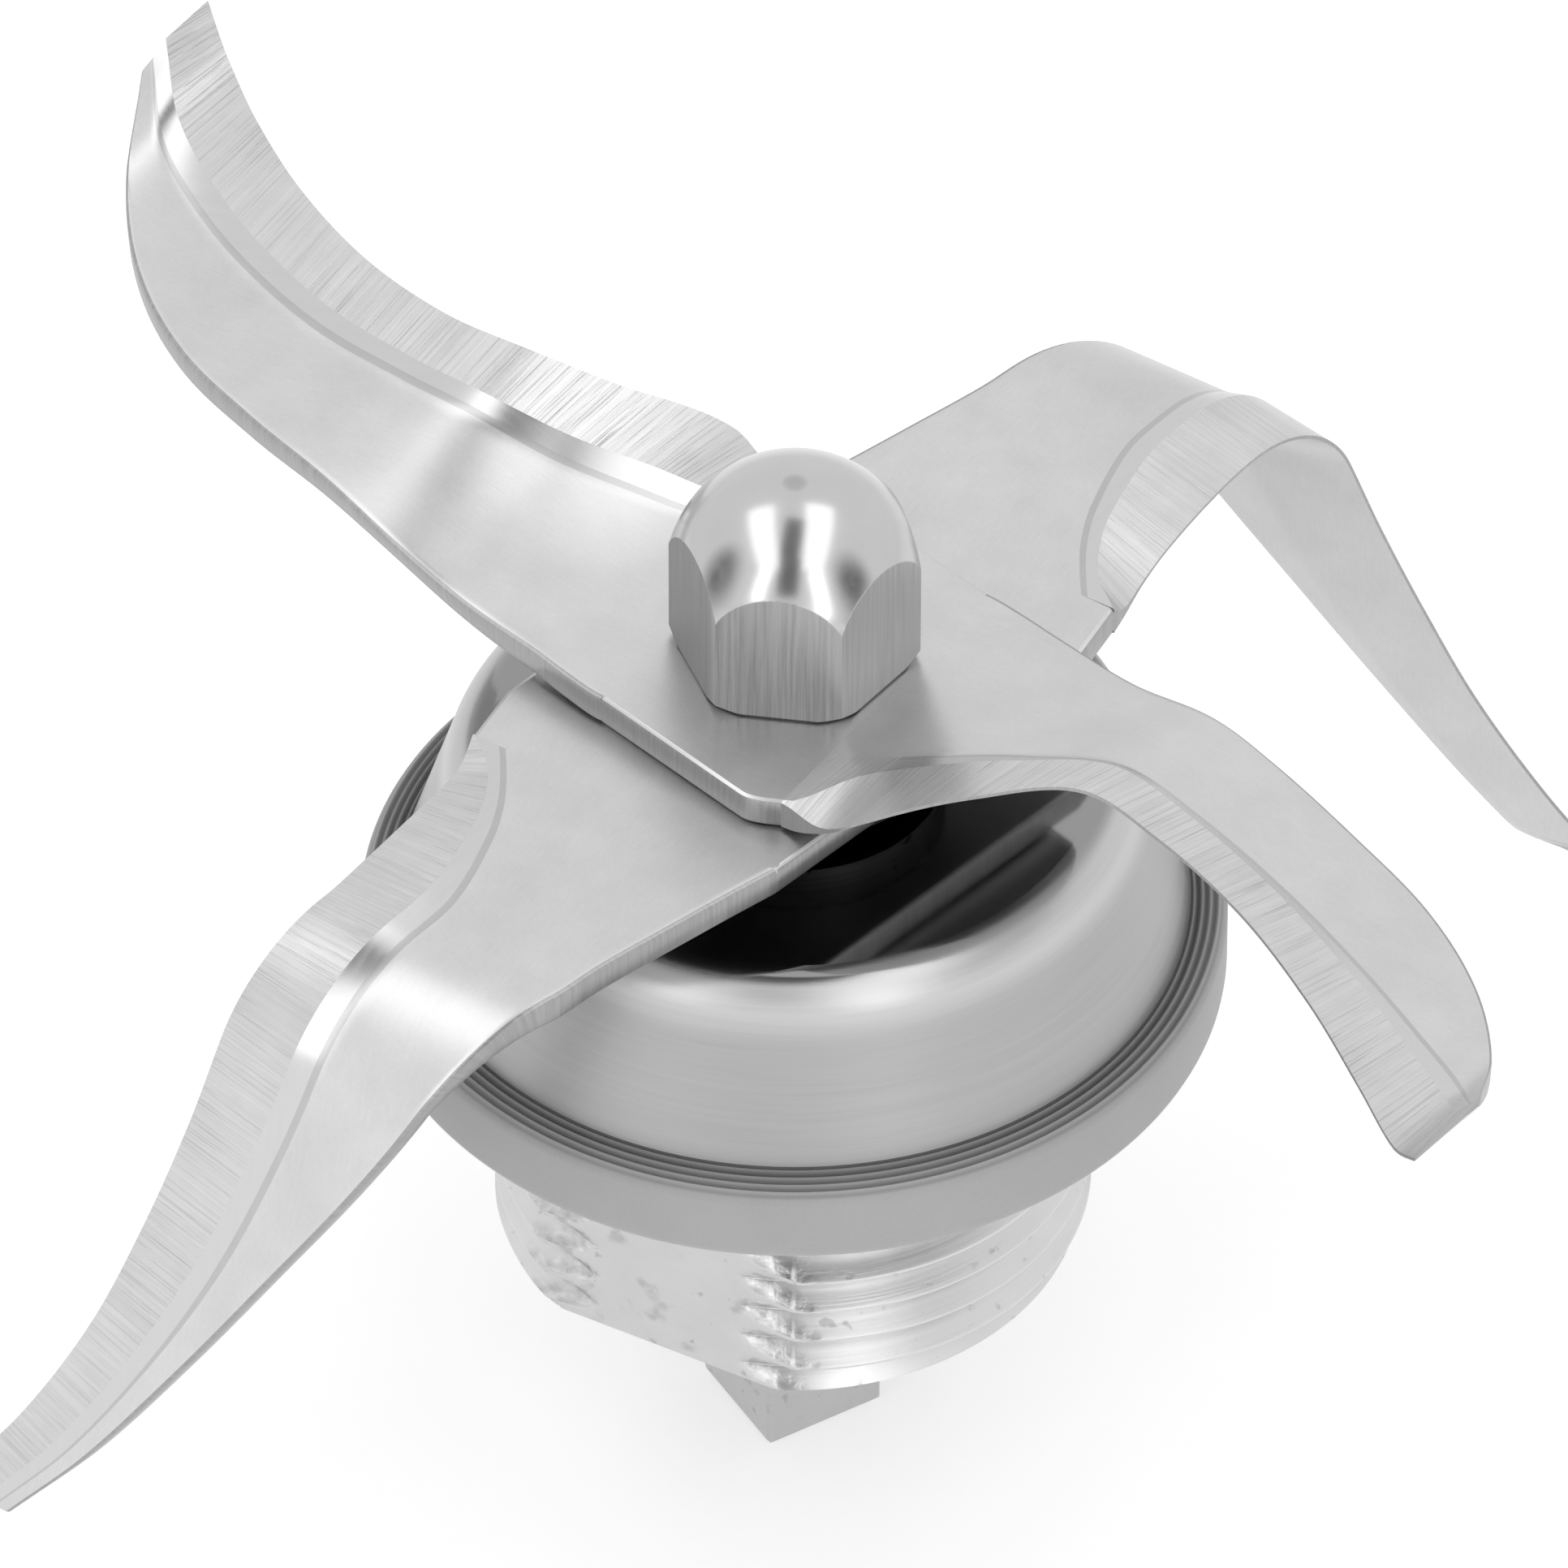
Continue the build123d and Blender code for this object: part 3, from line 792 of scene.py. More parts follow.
@dataclass
class BladePlate:
    """A blade: one plate with two arms, half a turn apart."""

    STRIP_MAP = "strip"
    MAP_UNIT = 0.01      # units of the map per millimetre
    EDGE_ROUND = 0.3     # round of the hub's long sides
    FLAT_NORMAL = 0.999  # faces whose normal is at least this upright are flat
    FACE_NORMAL = 0.5    # and at least this upright, a face of the sheet and not its side
    CORNER = 1.0         # angle of a corner, at least, in radians
    NEAR = 0.01          # places closer than this are the same

    name: str
    turn: float
    top_z: float
    sheet: float = 2.0
    land: float = 0.22
    share: float = 0.27
    run_in: float = 0.0
    tip_run: float = 2.4
    tip_lift: float = 1.25
    hole_r: float = 4.02
    hole_across: float = 6.54
    hole_turn: float = UPPER_TURN
    hole_steps: int = 48
    cuts: int = 84
    finishes: tuple = ()
    stations: tuple = ()

    def rows(self) -> tuple:
        """Stations along one arm, the distance first in each."""
        return self.stations

    def section(self, run: float) -> Section:
        """The cut of one arm at a distance; each blade has its own."""
        raise NotImplementedError

    def hub_side(self) -> list:
        """Corners of one half of the hub in the arm's own frame; each blade has its own."""
        raise NotImplementedError

    def axes(self) -> tuple:
        """Directions along the first arm and towards its cutting edge."""
        along = level(self.turn)
        return along, Vector((along.y, -along.x, 0.0))

    def sections(self) -> list:
        """The cuts of one arm, from the hub outwards.

        Returns:
            The sections.
        """
        rows = self.rows()
        first, last = rows[0][0], rows[-1][0]
        steps = range(self.cuts + 1)
        return [self.section(first + (last - first) * step / self.cuts) for step in steps]

    def build(self) -> Piece:
        """Makes the plate: two arms and the hub between them.

        Returns:
            The plate's object.
        """
        bm = bmesh.new()
        strip = bm.loops.layers.uv.new(self.STRIP_MAP)
        self.loft(bm, strip)
        arm = bm.verts[:] + bm.edges[:] + bm.faces[:]
        copy = bmesh.ops.duplicate(bm, geom=arm)["geom"]
        bmesh.ops.rotate(
            bm,
            verts=[item for item in copy if isinstance(item, bmesh.types.BMVert)],
            cent=ORIGIN,
            matrix=Matrix.Rotation(math.pi, 3, "Z"),
        )
        self.hub(bm, strip)
        return finish_piece(bm, self.name, self.finishes)

    def loft(self, bm: Mesh, strip: bmesh.types.BMLayerItem) -> None:
        """Draws one arm out of its first cut.

        Args:
            bm: the mesh.
            strip: the map along and across the arm.
        """
        mapped: dict = {}
        ring: list = []
        cuts = self.sections()
        for number, section in enumerate(cuts):
            near_tip = max(0.0, 1.0 - (cuts[-1].run - section.run) / self.tip_run)
            lift = self.tip_lift * near_tip**2
            points = section.outline(self.sheet, self.land, self.share, lift)
            spots = [section.place + section.side * q + section.up * h for q, h in points]
            if number == 0:
                ring = [bm.verts.new(spot * MM) for spot in spots]
                for vert, after in zip(ring, ring[1:] + ring[:1]):
                    bm.edges.new((vert, after))
                bm.faces.new(ring).material_index = Zone.SIDE
            else:
                ring = self.extend(bm, ring, spots, section.zones(self.run_in))
            for vert, (q, _) in zip(ring, points):
                mapped[vert] = (section.run * self.MAP_UNIT, q * self.MAP_UNIT)
        bm.faces.new(ring).material_index = Zone.SIDE
        for face in bm.faces:
            for loop in face.loops:
                loop[strip].uv = mapped[loop.vert]

    def extend(self, bm: Mesh, ring: list, spots: list, zones: tuple) -> list:
        """Extrudes the open ring of an arm to the next cut.

        Args:
            bm: the mesh.
            ring: the ring's vertices in order.
            spots: where they go.
            zones: the finishes between them.

        Returns:
            The new ring, in the same order.
        """
        edges = [
            next(edge for edge in vert.link_edges if edge.other_vert(vert) is after)
            for vert, after in zip(ring, ring[1:] + ring[:1])
        ]
        made = set(bmesh.ops.extrude_edge_only(bm, edges=edges)["geom"])
        following = []
        for index, vert in enumerate(ring):
            rail = next(edge for edge in vert.link_edges if edge.other_vert(vert) in made)
            rail.smooth = index not in CRISP_POINTS
            following.append(rail.other_vert(vert))
        for index, edge in enumerate(edges):
            face = next(face for face in edge.link_faces if following[index] in face.verts)
            face.material_index = zones[index]
        for vert, spot in zip(following, spots):
            vert.co = spot * MM
        return following

    def hub(self, bm: Mesh, strip: bmesh.types.BMLayerItem) -> None:
        """Fills the hub between the arms, with its keyed hole and soft long sides.

        Args:
            bm: the mesh.
            strip: the map along and across the arm.
        """
        arms = set(bm.faces)
        along, side = self.axes()
        foot = Vector((0.0, 0.0, self.top_z - self.sheet))
        half = self.hub_side()
        root = half[0][0]
        corners = half + [(-x, -y) for x, y in half]
        rim = [bm.verts.new((along * x - side * y + foot) * MM) for x, y in corners]
        edges = [bm.edges.new(pair) for pair in zip(rim, rim[1:] + rim[:1])]
        hole = self.key_hole(bm, foot)
        edges += dict.fromkeys(edge for vert in hole for edge in vert.link_edges)
        filled = bmesh.ops.triangle_fill(bm, use_beauty=True, use_dissolve=False, edges=edges)
        faces = [item for item in filled["geom"] if isinstance(item, bmesh.types.BMFace)]
        raised = bmesh.ops.extrude_face_region(bm, geom=faces, use_keep_orig=True)["geom"]
        top = [item for item in raised if isinstance(item, bmesh.types.BMVert)]
        bmesh.ops.translate(bm, verts=top, vec=(0.0, 0.0, self.sheet * MM))
        around = dict.fromkeys(edge for vert in rim + top for edge in vert.link_edges)
        long_sides = [edge for edge in around if self.is_long_side(edge, root)]
        bmesh.ops.bevel(
            bm,
            geom=long_sides,
            offset=self.EDGE_ROUND * MM,
            affect="EDGES",
            segments=2,
            profile=0.5,
            material=-1,
        )
        bm.normal_update()
        for face in bm.faces:
            if face in arms:
                continue
            face.material_index = Zone.SHEET if abs(face.normal.z) > self.FACE_NORMAL else Zone.SIDE
            if abs(face.normal.z) > self.FLAT_NORMAL:
                for edge in face.edges:
                    edge.smooth = all(
                        abs(by.normal.z) > self.FLAT_NORMAL for by in edge.link_faces
                    )
            for loop in face.loops:
                spot = loop.vert.co / MM * self.MAP_UNIT
                loop[strip].uv = (spot.dot(along), spot.dot(side))

    def is_long_side(self, edge: bmesh.types.BMEdge, root: float) -> bool:
        """Whether an edge of the hub is a level corner of one of its long sides.

        Args:
            edge: the edge.
            root: where the arms start.

        Returns:
            True for such an edge.
        """
        along, _ = self.axes()
        ends = [vert.co / MM for vert in edge.verts]
        return (
            abs(ends[0].z - ends[1].z) < self.NEAR
            and edge.calc_face_angle(0.0) > self.CORNER
            and any(abs(end.dot(along)) < root - self.NEAR for end in ends)
            and all(end.to_2d().length > 2 * self.hole_r for end in ends)
        )

    def key_hole(self, bm: Mesh, foot: Vector) -> list:
        """Draws the outline of the hole for the shaft, round with two flats.

        Args:
            bm: the mesh.
            foot: middle of the hub's underside, in millimetres.

        Returns:
            The outline's vertices.
        """
        hole = bmesh.ops.create_circle(bm, segments=self.hole_steps, radius=self.hole_r * MM)["verts"]
        key = level(self.hole_turn + 90.0)
        for vert in hole:
            reach = vert.co.dot(key)
            held = max(-self.hole_across / 2 * MM, min(self.hole_across / 2 * MM, reach))
            vert.co += key * (held - reach) + foot * MM
        return hole


@dataclass
class UpperBlade(BladePlate):
    """Upper blade: rolled arms with the cutting edge up."""

    # station along the arm, lift, roll, set of the edge, how far it is ground,
    # back edge, groove and cutting edge
    stations: tuple = (
        (6.9, 0.0, 0.0, 1.0, 0.05, -10.2, 6.3, 11.6),
        (9.9, 0.4, 1.8, 6.0, 0.85, -9.8, 5.6, 12.0),
        (12.5, 0.9, 4.4, 12.5, 1.0, -9.3, 4.6, 12.1),
        (18.5, 2.3, 13.2, 17.0, 1.0, -8.5, 2.7, 9.1),
        (24.5, 4.0, 17.5, 23.2, 1.0, -7.7, 1.8, 7.0),
        (30.0, 3.5, 13.6, 27.8, 1.0, -5.9, 2.4, 7.3),
        (37.0, 2.4, 10.0, 30.5, 1.0, -3.6, 3.9, 9.2),
        (44.0, 1.7, 7.6, 27.0, 1.0, -0.8, 6.4, 12.5),
        (50.0, 1.6, 6.2, 21.6, 1.0, 3.4, 9.3, 16.3),
        (54.5, 2.3, 6.0, 16.3, 1.0, 8.8, 12.2, 19.6),
        (57.2, 3.5, 10.0, 11.0, 1.0, 14.5, 15.6, 21.5),
    )
    # rounded corner of the hub at the root of the cutting edge
    corner: tuple = ((3.7, 12.2), (4.8, 12.35), (5.8, 12.1))
    corner_steps: int = 12
    run_in: float = 0.97

    def section(self, run: float) -> Section:
        """The cut of one arm at a distance.

        Args:
            run: the distance from the axis.

        Returns:
            The section.
        """
        lift, roll, edge_set, ground, *edges = smooth_row(self.stations, run, True)
        along, side = self.axes()
        lean = math.radians(roll)
        tilt = side * math.cos(lean) + UPRIGHT * math.sin(lean)
        place = along * run + UPRIGHT * (self.top_z + lift)
        return Section(
            run, place, tilt, (-along).cross(tilt), edge_set, min(ground, 1.0), *edges
        )

    def hub_side(self) -> list:
        """Corners of half the hub, from the root of one arm round to that of the other.

        Returns:
            The corners.
        """
        p, *_, back, groove, cut = self.stations[0]
        bow = self.corner + ((p, cut),)
        first = bow[0][0]
        round_off = [
            first + (p - first) * step / self.corner_steps
            for step in range(self.corner_steps + 1)
        ]
        return [(p, -groove), (p, -back)] + [(-x, smooth_row(bow, x)[0]) for x in round_off]


@dataclass
class LowerBlade(BladePlate):
    """Lower blade: flat arms that bend steeply down."""

    edge_set: float = 12.9
    bend_at: float = 37.1
    bend_angle: float = 72.5
    bend_r: float = 8.5
    corner: tuple = (10.6, 13.4)
    # distance from the axis, share of the set, how far it is ground,
    # back edge, groove and cutting edge on the flat
    flat: tuple = (
        (14.8, 0.1, 0.05, -8.3, 10.7, 13.0),
        (16.2, 0.3, 0.75, -7.8, 9.7, 12.85),
        (18.5, 0.7, 0.95, -7.0, 8.3, 12.6),
        (21.5, 0.95, 1.0, -6.0, 7.1, 12.5),
        (27.0, 1.0, 1.0, -4.2, 6.0, 12.6),
    )
    # back edge, groove and cutting edge at the two ends of the bend
    bend_start: tuple = (-3.2, 6.3, 12.9)
    bend_end: tuple = (1.2, 8.0, 14.8)
    # distance past the bend, back edge, groove and cutting edge on the slope
    slope: tuple = (
        (6.7, 4.5, 9.5, 16.0),
        (14.7, 9.0, 11.9, 17.9),
        (22.7, 13.6, 15.4, 20.4),
        (30.7, 18.6, 19.8, 24.1),
        (36.7, 23.2, 24.2, 28.0),
    )
    cuts: int = 104

    def bend_run(self) -> tuple:
        """Where the bend starts and ends along the developed arm."""
        full = math.radians(self.bend_angle)
        start = self.bend_at - self.bend_r * math.tan(full / 2)
        return start, start + self.bend_r * full

    def rows(self) -> tuple:
        """Stations along the developed arm: flat, bend and slope.

        Returns:
            The stations.
        """
        start, end = self.bend_run()
        return (
            self.flat
            + ((start, 1.0, 1.0, *self.bend_start), (end, 1.0, 1.0, *self.bend_end))
            + tuple((end + past, 1.0, 1.0, *row) for past, *row in self.slope)
        )

    def section(self, run: float) -> Section:
        """The cut of one arm at a distance along its developed length.

        Args:
            run: the distance from the axis.

        Returns:
            The section.
        """
        share, ground, *edges = smooth_row(self.rows(), run)
        along, side = self.axes()
        start, end = self.bend_run()
        full = math.radians(self.bend_angle)
        bent = max(0.0, min(full, (run - start) / self.bend_r))
        past = max(0.0, run - end)
        out = min(run, start) + self.bend_r * math.sin(bent) + past * math.cos(full)
        drop = self.bend_r * (1 - math.cos(bent)) + past * math.sin(full)
        course = along * math.cos(bent) - UPRIGHT * math.sin(bent)
        place = along * out + UPRIGHT * (self.top_z - drop)
        edge_set = share * self.edge_set
        return Section(
            run, place, side, (-course).cross(side), edge_set, min(ground, 1.0), *edges
        )

    def hub_side(self) -> list:
        """Corners of half the hub, from the root of one arm round to that of the other."""
        p, *_, back, groove, cut = self.flat[0]
        return [(p, -groove), (p, -back), (-self.corner[0], self.corner[1]), (-p, cut)]


@dataclass
class ThreadedBase:
    """Threaded base: neck with an outside thread and one milled flat, flange and bores."""

    MERGE = 0.004    # points of neighbouring turns closer than this become one
    SNAP = 0.002     # points closer than this to a cut lie on it

    finish: Finish
    depth: float = 1.5
    pitch: float = 2.4
    phase: float = 0.71
    neck_z: float = -19.3
    chamfer: float = 0.6
    plain: float = 1.2
    run_out: float = 2.5
    steps: int = 360
    # share of the pitch and share of the depth, round one thread
    thread: tuple = (
        (0.0, 0.0), (0.06, 0.0), (0.09, 0.05), (0.46, 0.93),
        (0.5, 1.0), (0.55, 1.0), (0.59, 0.93), (0.97, 0.05),
    )
    # radius and height of the flange, the top and the bores, from under the ring inwards
    rest: tuple = (
        (17.0, 0.0), (17.0, 2.4), (22.57, 2.4), (22.57, 5.7), (17.8, 5.7), (17.8, 16.0),
        (11.02, 16.0), (11.02, 8.0), (9.3, 8.0), (9.3, 5.0), (11.02, 5.0), (11.02, -15.0),
        (11.62, -15.0), (11.62, -16.2), (11.02, -16.2), (11.02, -19.3),
    )

    def build(self) -> Piece:
        """Screws the thread and adds the rest of the base.

        Returns:
            The base's object.
        """
        bm = bmesh.new()
        self.screw(bm)
        open_edges = [edge for edge in bm.edges if len(edge.link_faces) == 1]
        middle = self.neck_z / 2 * MM
        ring = [edge for edge in open_edges if edge.verts[0].co.z > middle]
        foot = [edge for edge in open_edges if edge.verts[0].co.z < middle]
        for radius, height in self.rest:
            ring = self.carry(bm, ring, radius, height)
        bmesh.ops.bridge_loops(bm, edges=ring + foot)
        return finish_piece(bm, "threaded_base_cut", (self.finish,))

    def screw(self, bm: Mesh) -> None:
        """Makes the neck's outside as one screw of the thread's outline.

        Args:
            bm: the mesh.
        """
        turns = math.ceil(-self.neck_z / self.pitch) + 3
        line = [
            (
                THREAD_R - deep * self.depth,
                self.neck_z + (turn - 2 + self.phase + share) * self.pitch,
            )
            for turn in range(turns + 1)
            for share, deep in self.thread
        ]
        spin(bm, line, self.steps, closed=False, drop=self.pitch)
        bmesh.ops.remove_doubles(bm, verts=bm.verts[:], dist=self.MERGE * MM)
        for height, outward in ((0.0, 1.0), (self.neck_z, -1.0)):
            bmesh.ops.bisect_plane(
                bm,
                geom=bm.verts[:] + bm.edges[:] + bm.faces[:],
                dist=self.SNAP * MM,
                plane_co=(0.0, 0.0, height * MM),
                plane_no=(0.0, 0.0, outward),
                clear_outer=True,
            )
        for vert in bm.verts:
            self.trim(vert)

    def trim(self, vert: bmesh.types.BMVert) -> None:
        """Runs the thread out under the ring and holds it inside the chamfer and the flat.

        Args:
            vert: a point of the screw.
        """
        height = vert.co.z / MM
        radius = math.hypot(vert.co.x, vert.co.y) / MM
        radius = max(radius, THREAD_R + self.run_out * height)
        radius = min(radius, THREAD_R - self.chamfer + height - self.neck_z)
        spot = round_spot(vert, radius, height)
        facing = level(FLAT_TURN)
        over = spot.dot(facing) - (THREAD_R - FLAT_DEPTH)
        if over > 0.0 and height < -self.plain:
            spot -= facing * over
        vert.co = spot * MM

    def carry(self, bm: Mesh, ring: list, radius: float, height: float) -> list:
        """Extrudes an open round end to another radius and height.

        Args:
            bm: the mesh.
            ring: edges of the open end.
            radius: where the new end is.
            height: its height.

        Returns:
            Edges of the new end.
        """
        made = bmesh.ops.extrude_edge_only(bm, edges=ring)["geom"]
        for vert in made:
            if isinstance(vert, bmesh.types.BMVert):
                vert.co = round_spot(vert, radius, height) * MM
        return [
            edge for edge in made
            if isinstance(edge, bmesh.types.BMEdge) and len(edge.link_faces) == 1
        ]


@dataclass
class SealRing:
    """Sealing ring: rounded outside, with fine ridges round its top beside the cup."""

    finish: Finish
    outer_r: float = 25.9
    edge: float = 0.9
    edge_steps: int = 6
    ridge_depth: float = 0.13
    ridge_steps: int = 8
    steps: int = 180
    # radius and height of the ridges' middle line, at its outer end and beside the cup
    ridge_end: tuple = (25.5, 5.12)
    ridge_start: tuple = (23.75, 5.5)
    # radius and height round the outer edge of the top
    shoulder: tuple = ((25.9, 4.4), (25.86, 4.66), (25.75, 4.88))
    # radius and height round the flange, from the cup's rim inwards and down to the seat
    inside: tuple = (
        (23.67, 5.7), (22.62, 5.7), (22.62, 2.4), (17.1, 2.4), (17.1, 0.4), (18.4, 0.0),
    )

    def profile(self) -> list:
        """Outline of the ring's cut, from its foot outwards and back over the ridges.

        Returns:
            Points as radius and height.
        """
        middle = self.outer_r - self.edge
        turns = [math.pi / 2 * step / self.edge_steps for step in range(self.edge_steps + 1)]
        foot = [
            (middle + self.edge * math.sin(turn), self.edge - self.edge * math.cos(turn))
            for turn in turns
        ]
        far, low = self.ridge_end
        near, high = self.ridge_start
        count = round((far - near) / RIDGE * self.ridge_steps)
        ridges = []
        for step in range(count + 1):
            share = step / count
            radius = far + (near - far) * share
            wave = math.sin(2 * math.pi * radius / RIDGE)
            ridges.append((radius, low + (high - low) * share - self.ridge_depth * wave))
        return foot + list(self.shoulder) + ridges + list(self.inside)

    def build(self) -> Piece:
        """Turns the outline round the axis.

        Returns:
            The ring's object.
        """
        bm = bmesh.new()
        spin(bm, self.profile(), self.steps)
        return finish_piece(bm, "sealing_ring_moulded", (self.finish,))


@dataclass(frozen=True)
class NodeDress:
    """Finish of solids that are shown as they are packed."""

    finish: Finish
    nodes: tuple

    def apply(self) -> None:
        """Puts the finish on every slot of the nodes."""
        made = self.finish.material()
        for name in self.nodes:
            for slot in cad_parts[name].material_slots:
                slot.material = made
            LOG.info("%s wears %s", name, self.finish.name)


@dataclass(frozen=True)
class Paint(Finish):
    """Even matt paint of the studio's floor and cards."""

    sheen: float = 0.5
    glow: float = 0.0

    def dress(self, nodes: Nodes) -> None:
        """Writes an even surface.

        Args:
            nodes: the material's tree.
        """
        nodes.surface(
            {
                "Base Color": grey(self.tone),
                "Roughness": self.roughness,
                "Specular IOR Level": self.sheen,
                "Emission Color": grey(1.0),
                "Emission Strength": self.glow,
            }
        )


@dataclass(frozen=True)
class Card:
    """A matt card of the studio, outside the picture, which darkens a part of the reflections."""

    name: str
    middle: tuple
    width: float
    height: float
    tone: float

    def build(self) -> None:
        """Makes the card, facing the object."""
        bm = bmesh.new()
        bmesh.ops.create_grid(bm, x_segments=1, y_segments=1, size=0.5)
        bmesh.ops.scale(bm, verts=bm.verts[:], vec=(self.width, self.height, 1.0))
        middle = Vector(self.middle)
        turn = (-middle).to_track_quat("Z", "Y").to_matrix()
        bmesh.ops.rotate(bm, verts=bm.verts[:], cent=ORIGIN, matrix=turn)
        bmesh.ops.translate(bm, verts=bm.verts[:], vec=middle)
        card = put(bm, self.name, (Paint(self.name, self.tone, MATT),))
        card.visible_camera = False
        card.visible_shadow = False
        card.visible_diffuse = False


@dataclass(frozen=True)
class SoftLight:
    """A softbox."""

    name: str
    middle: tuple
    width: float
    height: float
    radiance: float
    aim_y: float = 0.0

    def build(self) -> None:
        """Hangs the softbox, facing the object or a point before it."""
        light = bpy.data.lights.new(self.name, "AREA")
        light.shape = "RECTANGLE"
        light.size = self.width
        light.size_y = self.height
        light.energy = self.radiance * math.pi * self.width * self.height
        box = bpy.data.objects.new(self.name, light)
        bpy.context.scene.collection.objects.link(box)
        box.location = self.middle
        facing = Vector(self.middle) - Vector((0.0, self.aim_y, 0.0))
        box.rotation_euler = facing.to_track_quat("Z", "Y").to_euler()
        box.visible_camera = False


@dataclass
class Studio:
    """Pale floor, soft light and the camera of the picture."""

    floor_z: float = -36.4
    floor_size: float = 6.0
    floor_paint: Paint = Paint("floor_paint", 0.82, MATT, sheen=0.0, glow=0.42)
    fill: float = 0.6    # strength of the world as light; to the eye it is 1
    sensor: float = 36.0
    clip: tuple = (0.05, 20.0)
    elevation: float = 43.697
    roll: float = 0.135
    distance: float = 1300.0
    focus: float = 27161.0
    picture: float = 1932.0
    aim_z: float = 26.5
    aim_pixel: tuple = (979.03, 781.12)
    lights: tuple = (
        SoftLight("left_bank", (-0.48, -0.2, 1.0), 1.3, 0.4, 1.1, -0.2),
        SoftLight("right_bank", (0.34, -0.2, 1.0), 1.3, 0.4, 1.1, -0.2),
        SoftLight("left_strip", (-0.6, -0.85, 0.45), 0.2, 0.9, 1.8),
        SoftLight("right_strip", (0.42, -0.9, 0.45), 0.24, 0.9, 1.8),
    )
    cards: tuple = (
        Card("front_card", (-0.13, -0.95, 0.95), 0.44, 0.8, 0.12),
        Card("top_card", (-0.06, -0.32, 1.15), 0.34, 1.0, 0.12),
    )

    def build(self) -> None:
        """Sets up floor, light, cards, world and camera."""
        self.floor()
        self.world()
        for thing in self.lights + self.cards:
            thing.build()
        self.camera()

    def floor(self) -> None:
        """Lays the floor under the drive's end, white to the eye and with the object's shadow."""
        bm = bmesh.new()
        bmesh.ops.create_grid(bm, x_segments=2, y_segments=2, size=self.floor_size / 2)
        bmesh.ops.translate(bm, verts=bm.verts[:], vec=(0.0, 0.0, self.floor_z * MM))
        floor = put(bm, "floor", (self.floor_paint,))

    def world(self) -> None:
        """White all round to the eye and in reflections, softer as light."""
        world = bpy.data.worlds.new("studio")
        bpy.context.scene.world = world
        nodes = Nodes(world)
        path = nodes.add("ShaderNodeLightPath")
        seen = Value(nodes, path.outputs["Is Camera Ray"])
        for name in ("Is Glossy Ray", "Is Transmission Ray"):
            seen = seen.at_least(path.outputs[name])
        strength = self.fill + seen * (1.0 - self.fill)
        sockets = {"Color": grey(1.0), "Strength": strength}
        shade = nodes.add("ShaderNodeBackground", None, sockets)
        nodes.add("ShaderNodeOutputWorld", None, {"Surface": shade.outputs[0]})

    def camera(self) -> None:
        """Stands the camera where the picture was taken from."""
        rise = math.radians(self.elevation)
        back = Vector((0.0, -math.cos(rise), math.sin(rise)))
        across = Vector((1.0, 0.0, 0.0))
        upright = back.cross(across)
        lean = math.radians(self.roll)
        right = across * math.cos(lean) + upright * math.sin(lean)
        up = upright * math.cos(lean) - across * math.sin(lean)
        scale = self.distance / self.focus
        aside = (self.aim_pixel[0] - self.picture / 2) * scale
        down = (self.aim_pixel[1] - self.picture / 2) * scale
        spot = UPRIGHT * self.aim_z + back * self.distance - right * aside + up * down
        lens = bpy.data.cameras.new("camera")
        lens.sensor_width = self.sensor
        lens.lens = self.focus / self.picture * self.sensor
        lens.clip_start, lens.clip_end = self.clip
        camera = bpy.data.objects.new("camera", lens)
        bpy.context.scene.collection.objects.link(camera)
        facing = Matrix((right, up, back)).transposed().to_4x4()
        camera.matrix_world = Matrix.Translation(spot * MM) @ facing
        bpy.context.scene.camera = camera


def turned(
    name: str, tone: float, roughness: float, lines: float = TOOL_LINES, depth: float = 0.006
) -> Layered:
    """Turned metal: tool lines round the axis, clouds and scattered dull spots.

    Args:
        name: the finish's name.
        tone: its tone.
        roughness: its roughness.
        lines: waves of the tool lines per metre.
        depth: depth of the lines.

    Returns:
        The finish.
    """
    return Layered(name, tone, roughness, depth, (
        Layer(Course.ROUND, (lines, lines), 2.0, tone=0.06, rough=0.08, relief=1.0),
        Layer(Course.PLACE, (160.0,), 3.0, tone=0.08, rough=0.1),
        Layer(Course.PLACE, (900.0,), 3.0, -0.1, 0.15, -0.6, levels=(0.12, 0.24)),
    ))


def rubber(dust: float) -> tuple:
    """Layers of moulded rubber: a fine grain and a little dust."""
    grain = Layer(Course.PLACE, (5200.0,), 2.0, tone=0.04, rough=0.08, relief=1.0)
    return grain, Layer(Course.PLACE, (220.0,), 3.0, tone=dust, rough=0.1)


# satin sheet: grain, clouds, wear and rubbed marks
SHEET = Layered("satin_sheet", 0.6, 0.34, 0.004, (
    Layer(Course.PLACE, (4200.0,), 2.0, tone=0.05, rough=0.03, relief=0.4),
    Layer(Course.PLACE, (70.0,), 3.0, tone=0.09, rough=0.07),
    Layer(Course.PLACE, (260.0,), 4.0, tone=0.11, rough=0.05, relief=1.0),
    Layer(Course.STRIP, (60.0, 900.0), 2.0, tone=0.06, relief=0.5),
))
# ground bevel: coarse and fine grinding lines towards the cutting edge, patches and deep scores
GRIND = Layered("ground_edge", 0.6, 0.34, 0.028, (
    Layer(Course.STRIP, (480.0, 7.0), 3.0, 0.204, -0.09, 0.6, slant=0.12),
    Layer(Course.STRIP, (1500.0, 9.0), 2.0, 0.136, -0.06, 0.4, slant=0.12, shift=5.0),
    Layer(Course.STRIP, (22.0, 30.0), 3.0, tone=0.1, rough=0.08, shift=2.0),
    Layer(Course.STRIP, (1500.0, 9.0), 2.0, -0.16, 0.0, -0.4, 0.12, 5.0, (0.1, 0.16)),
))
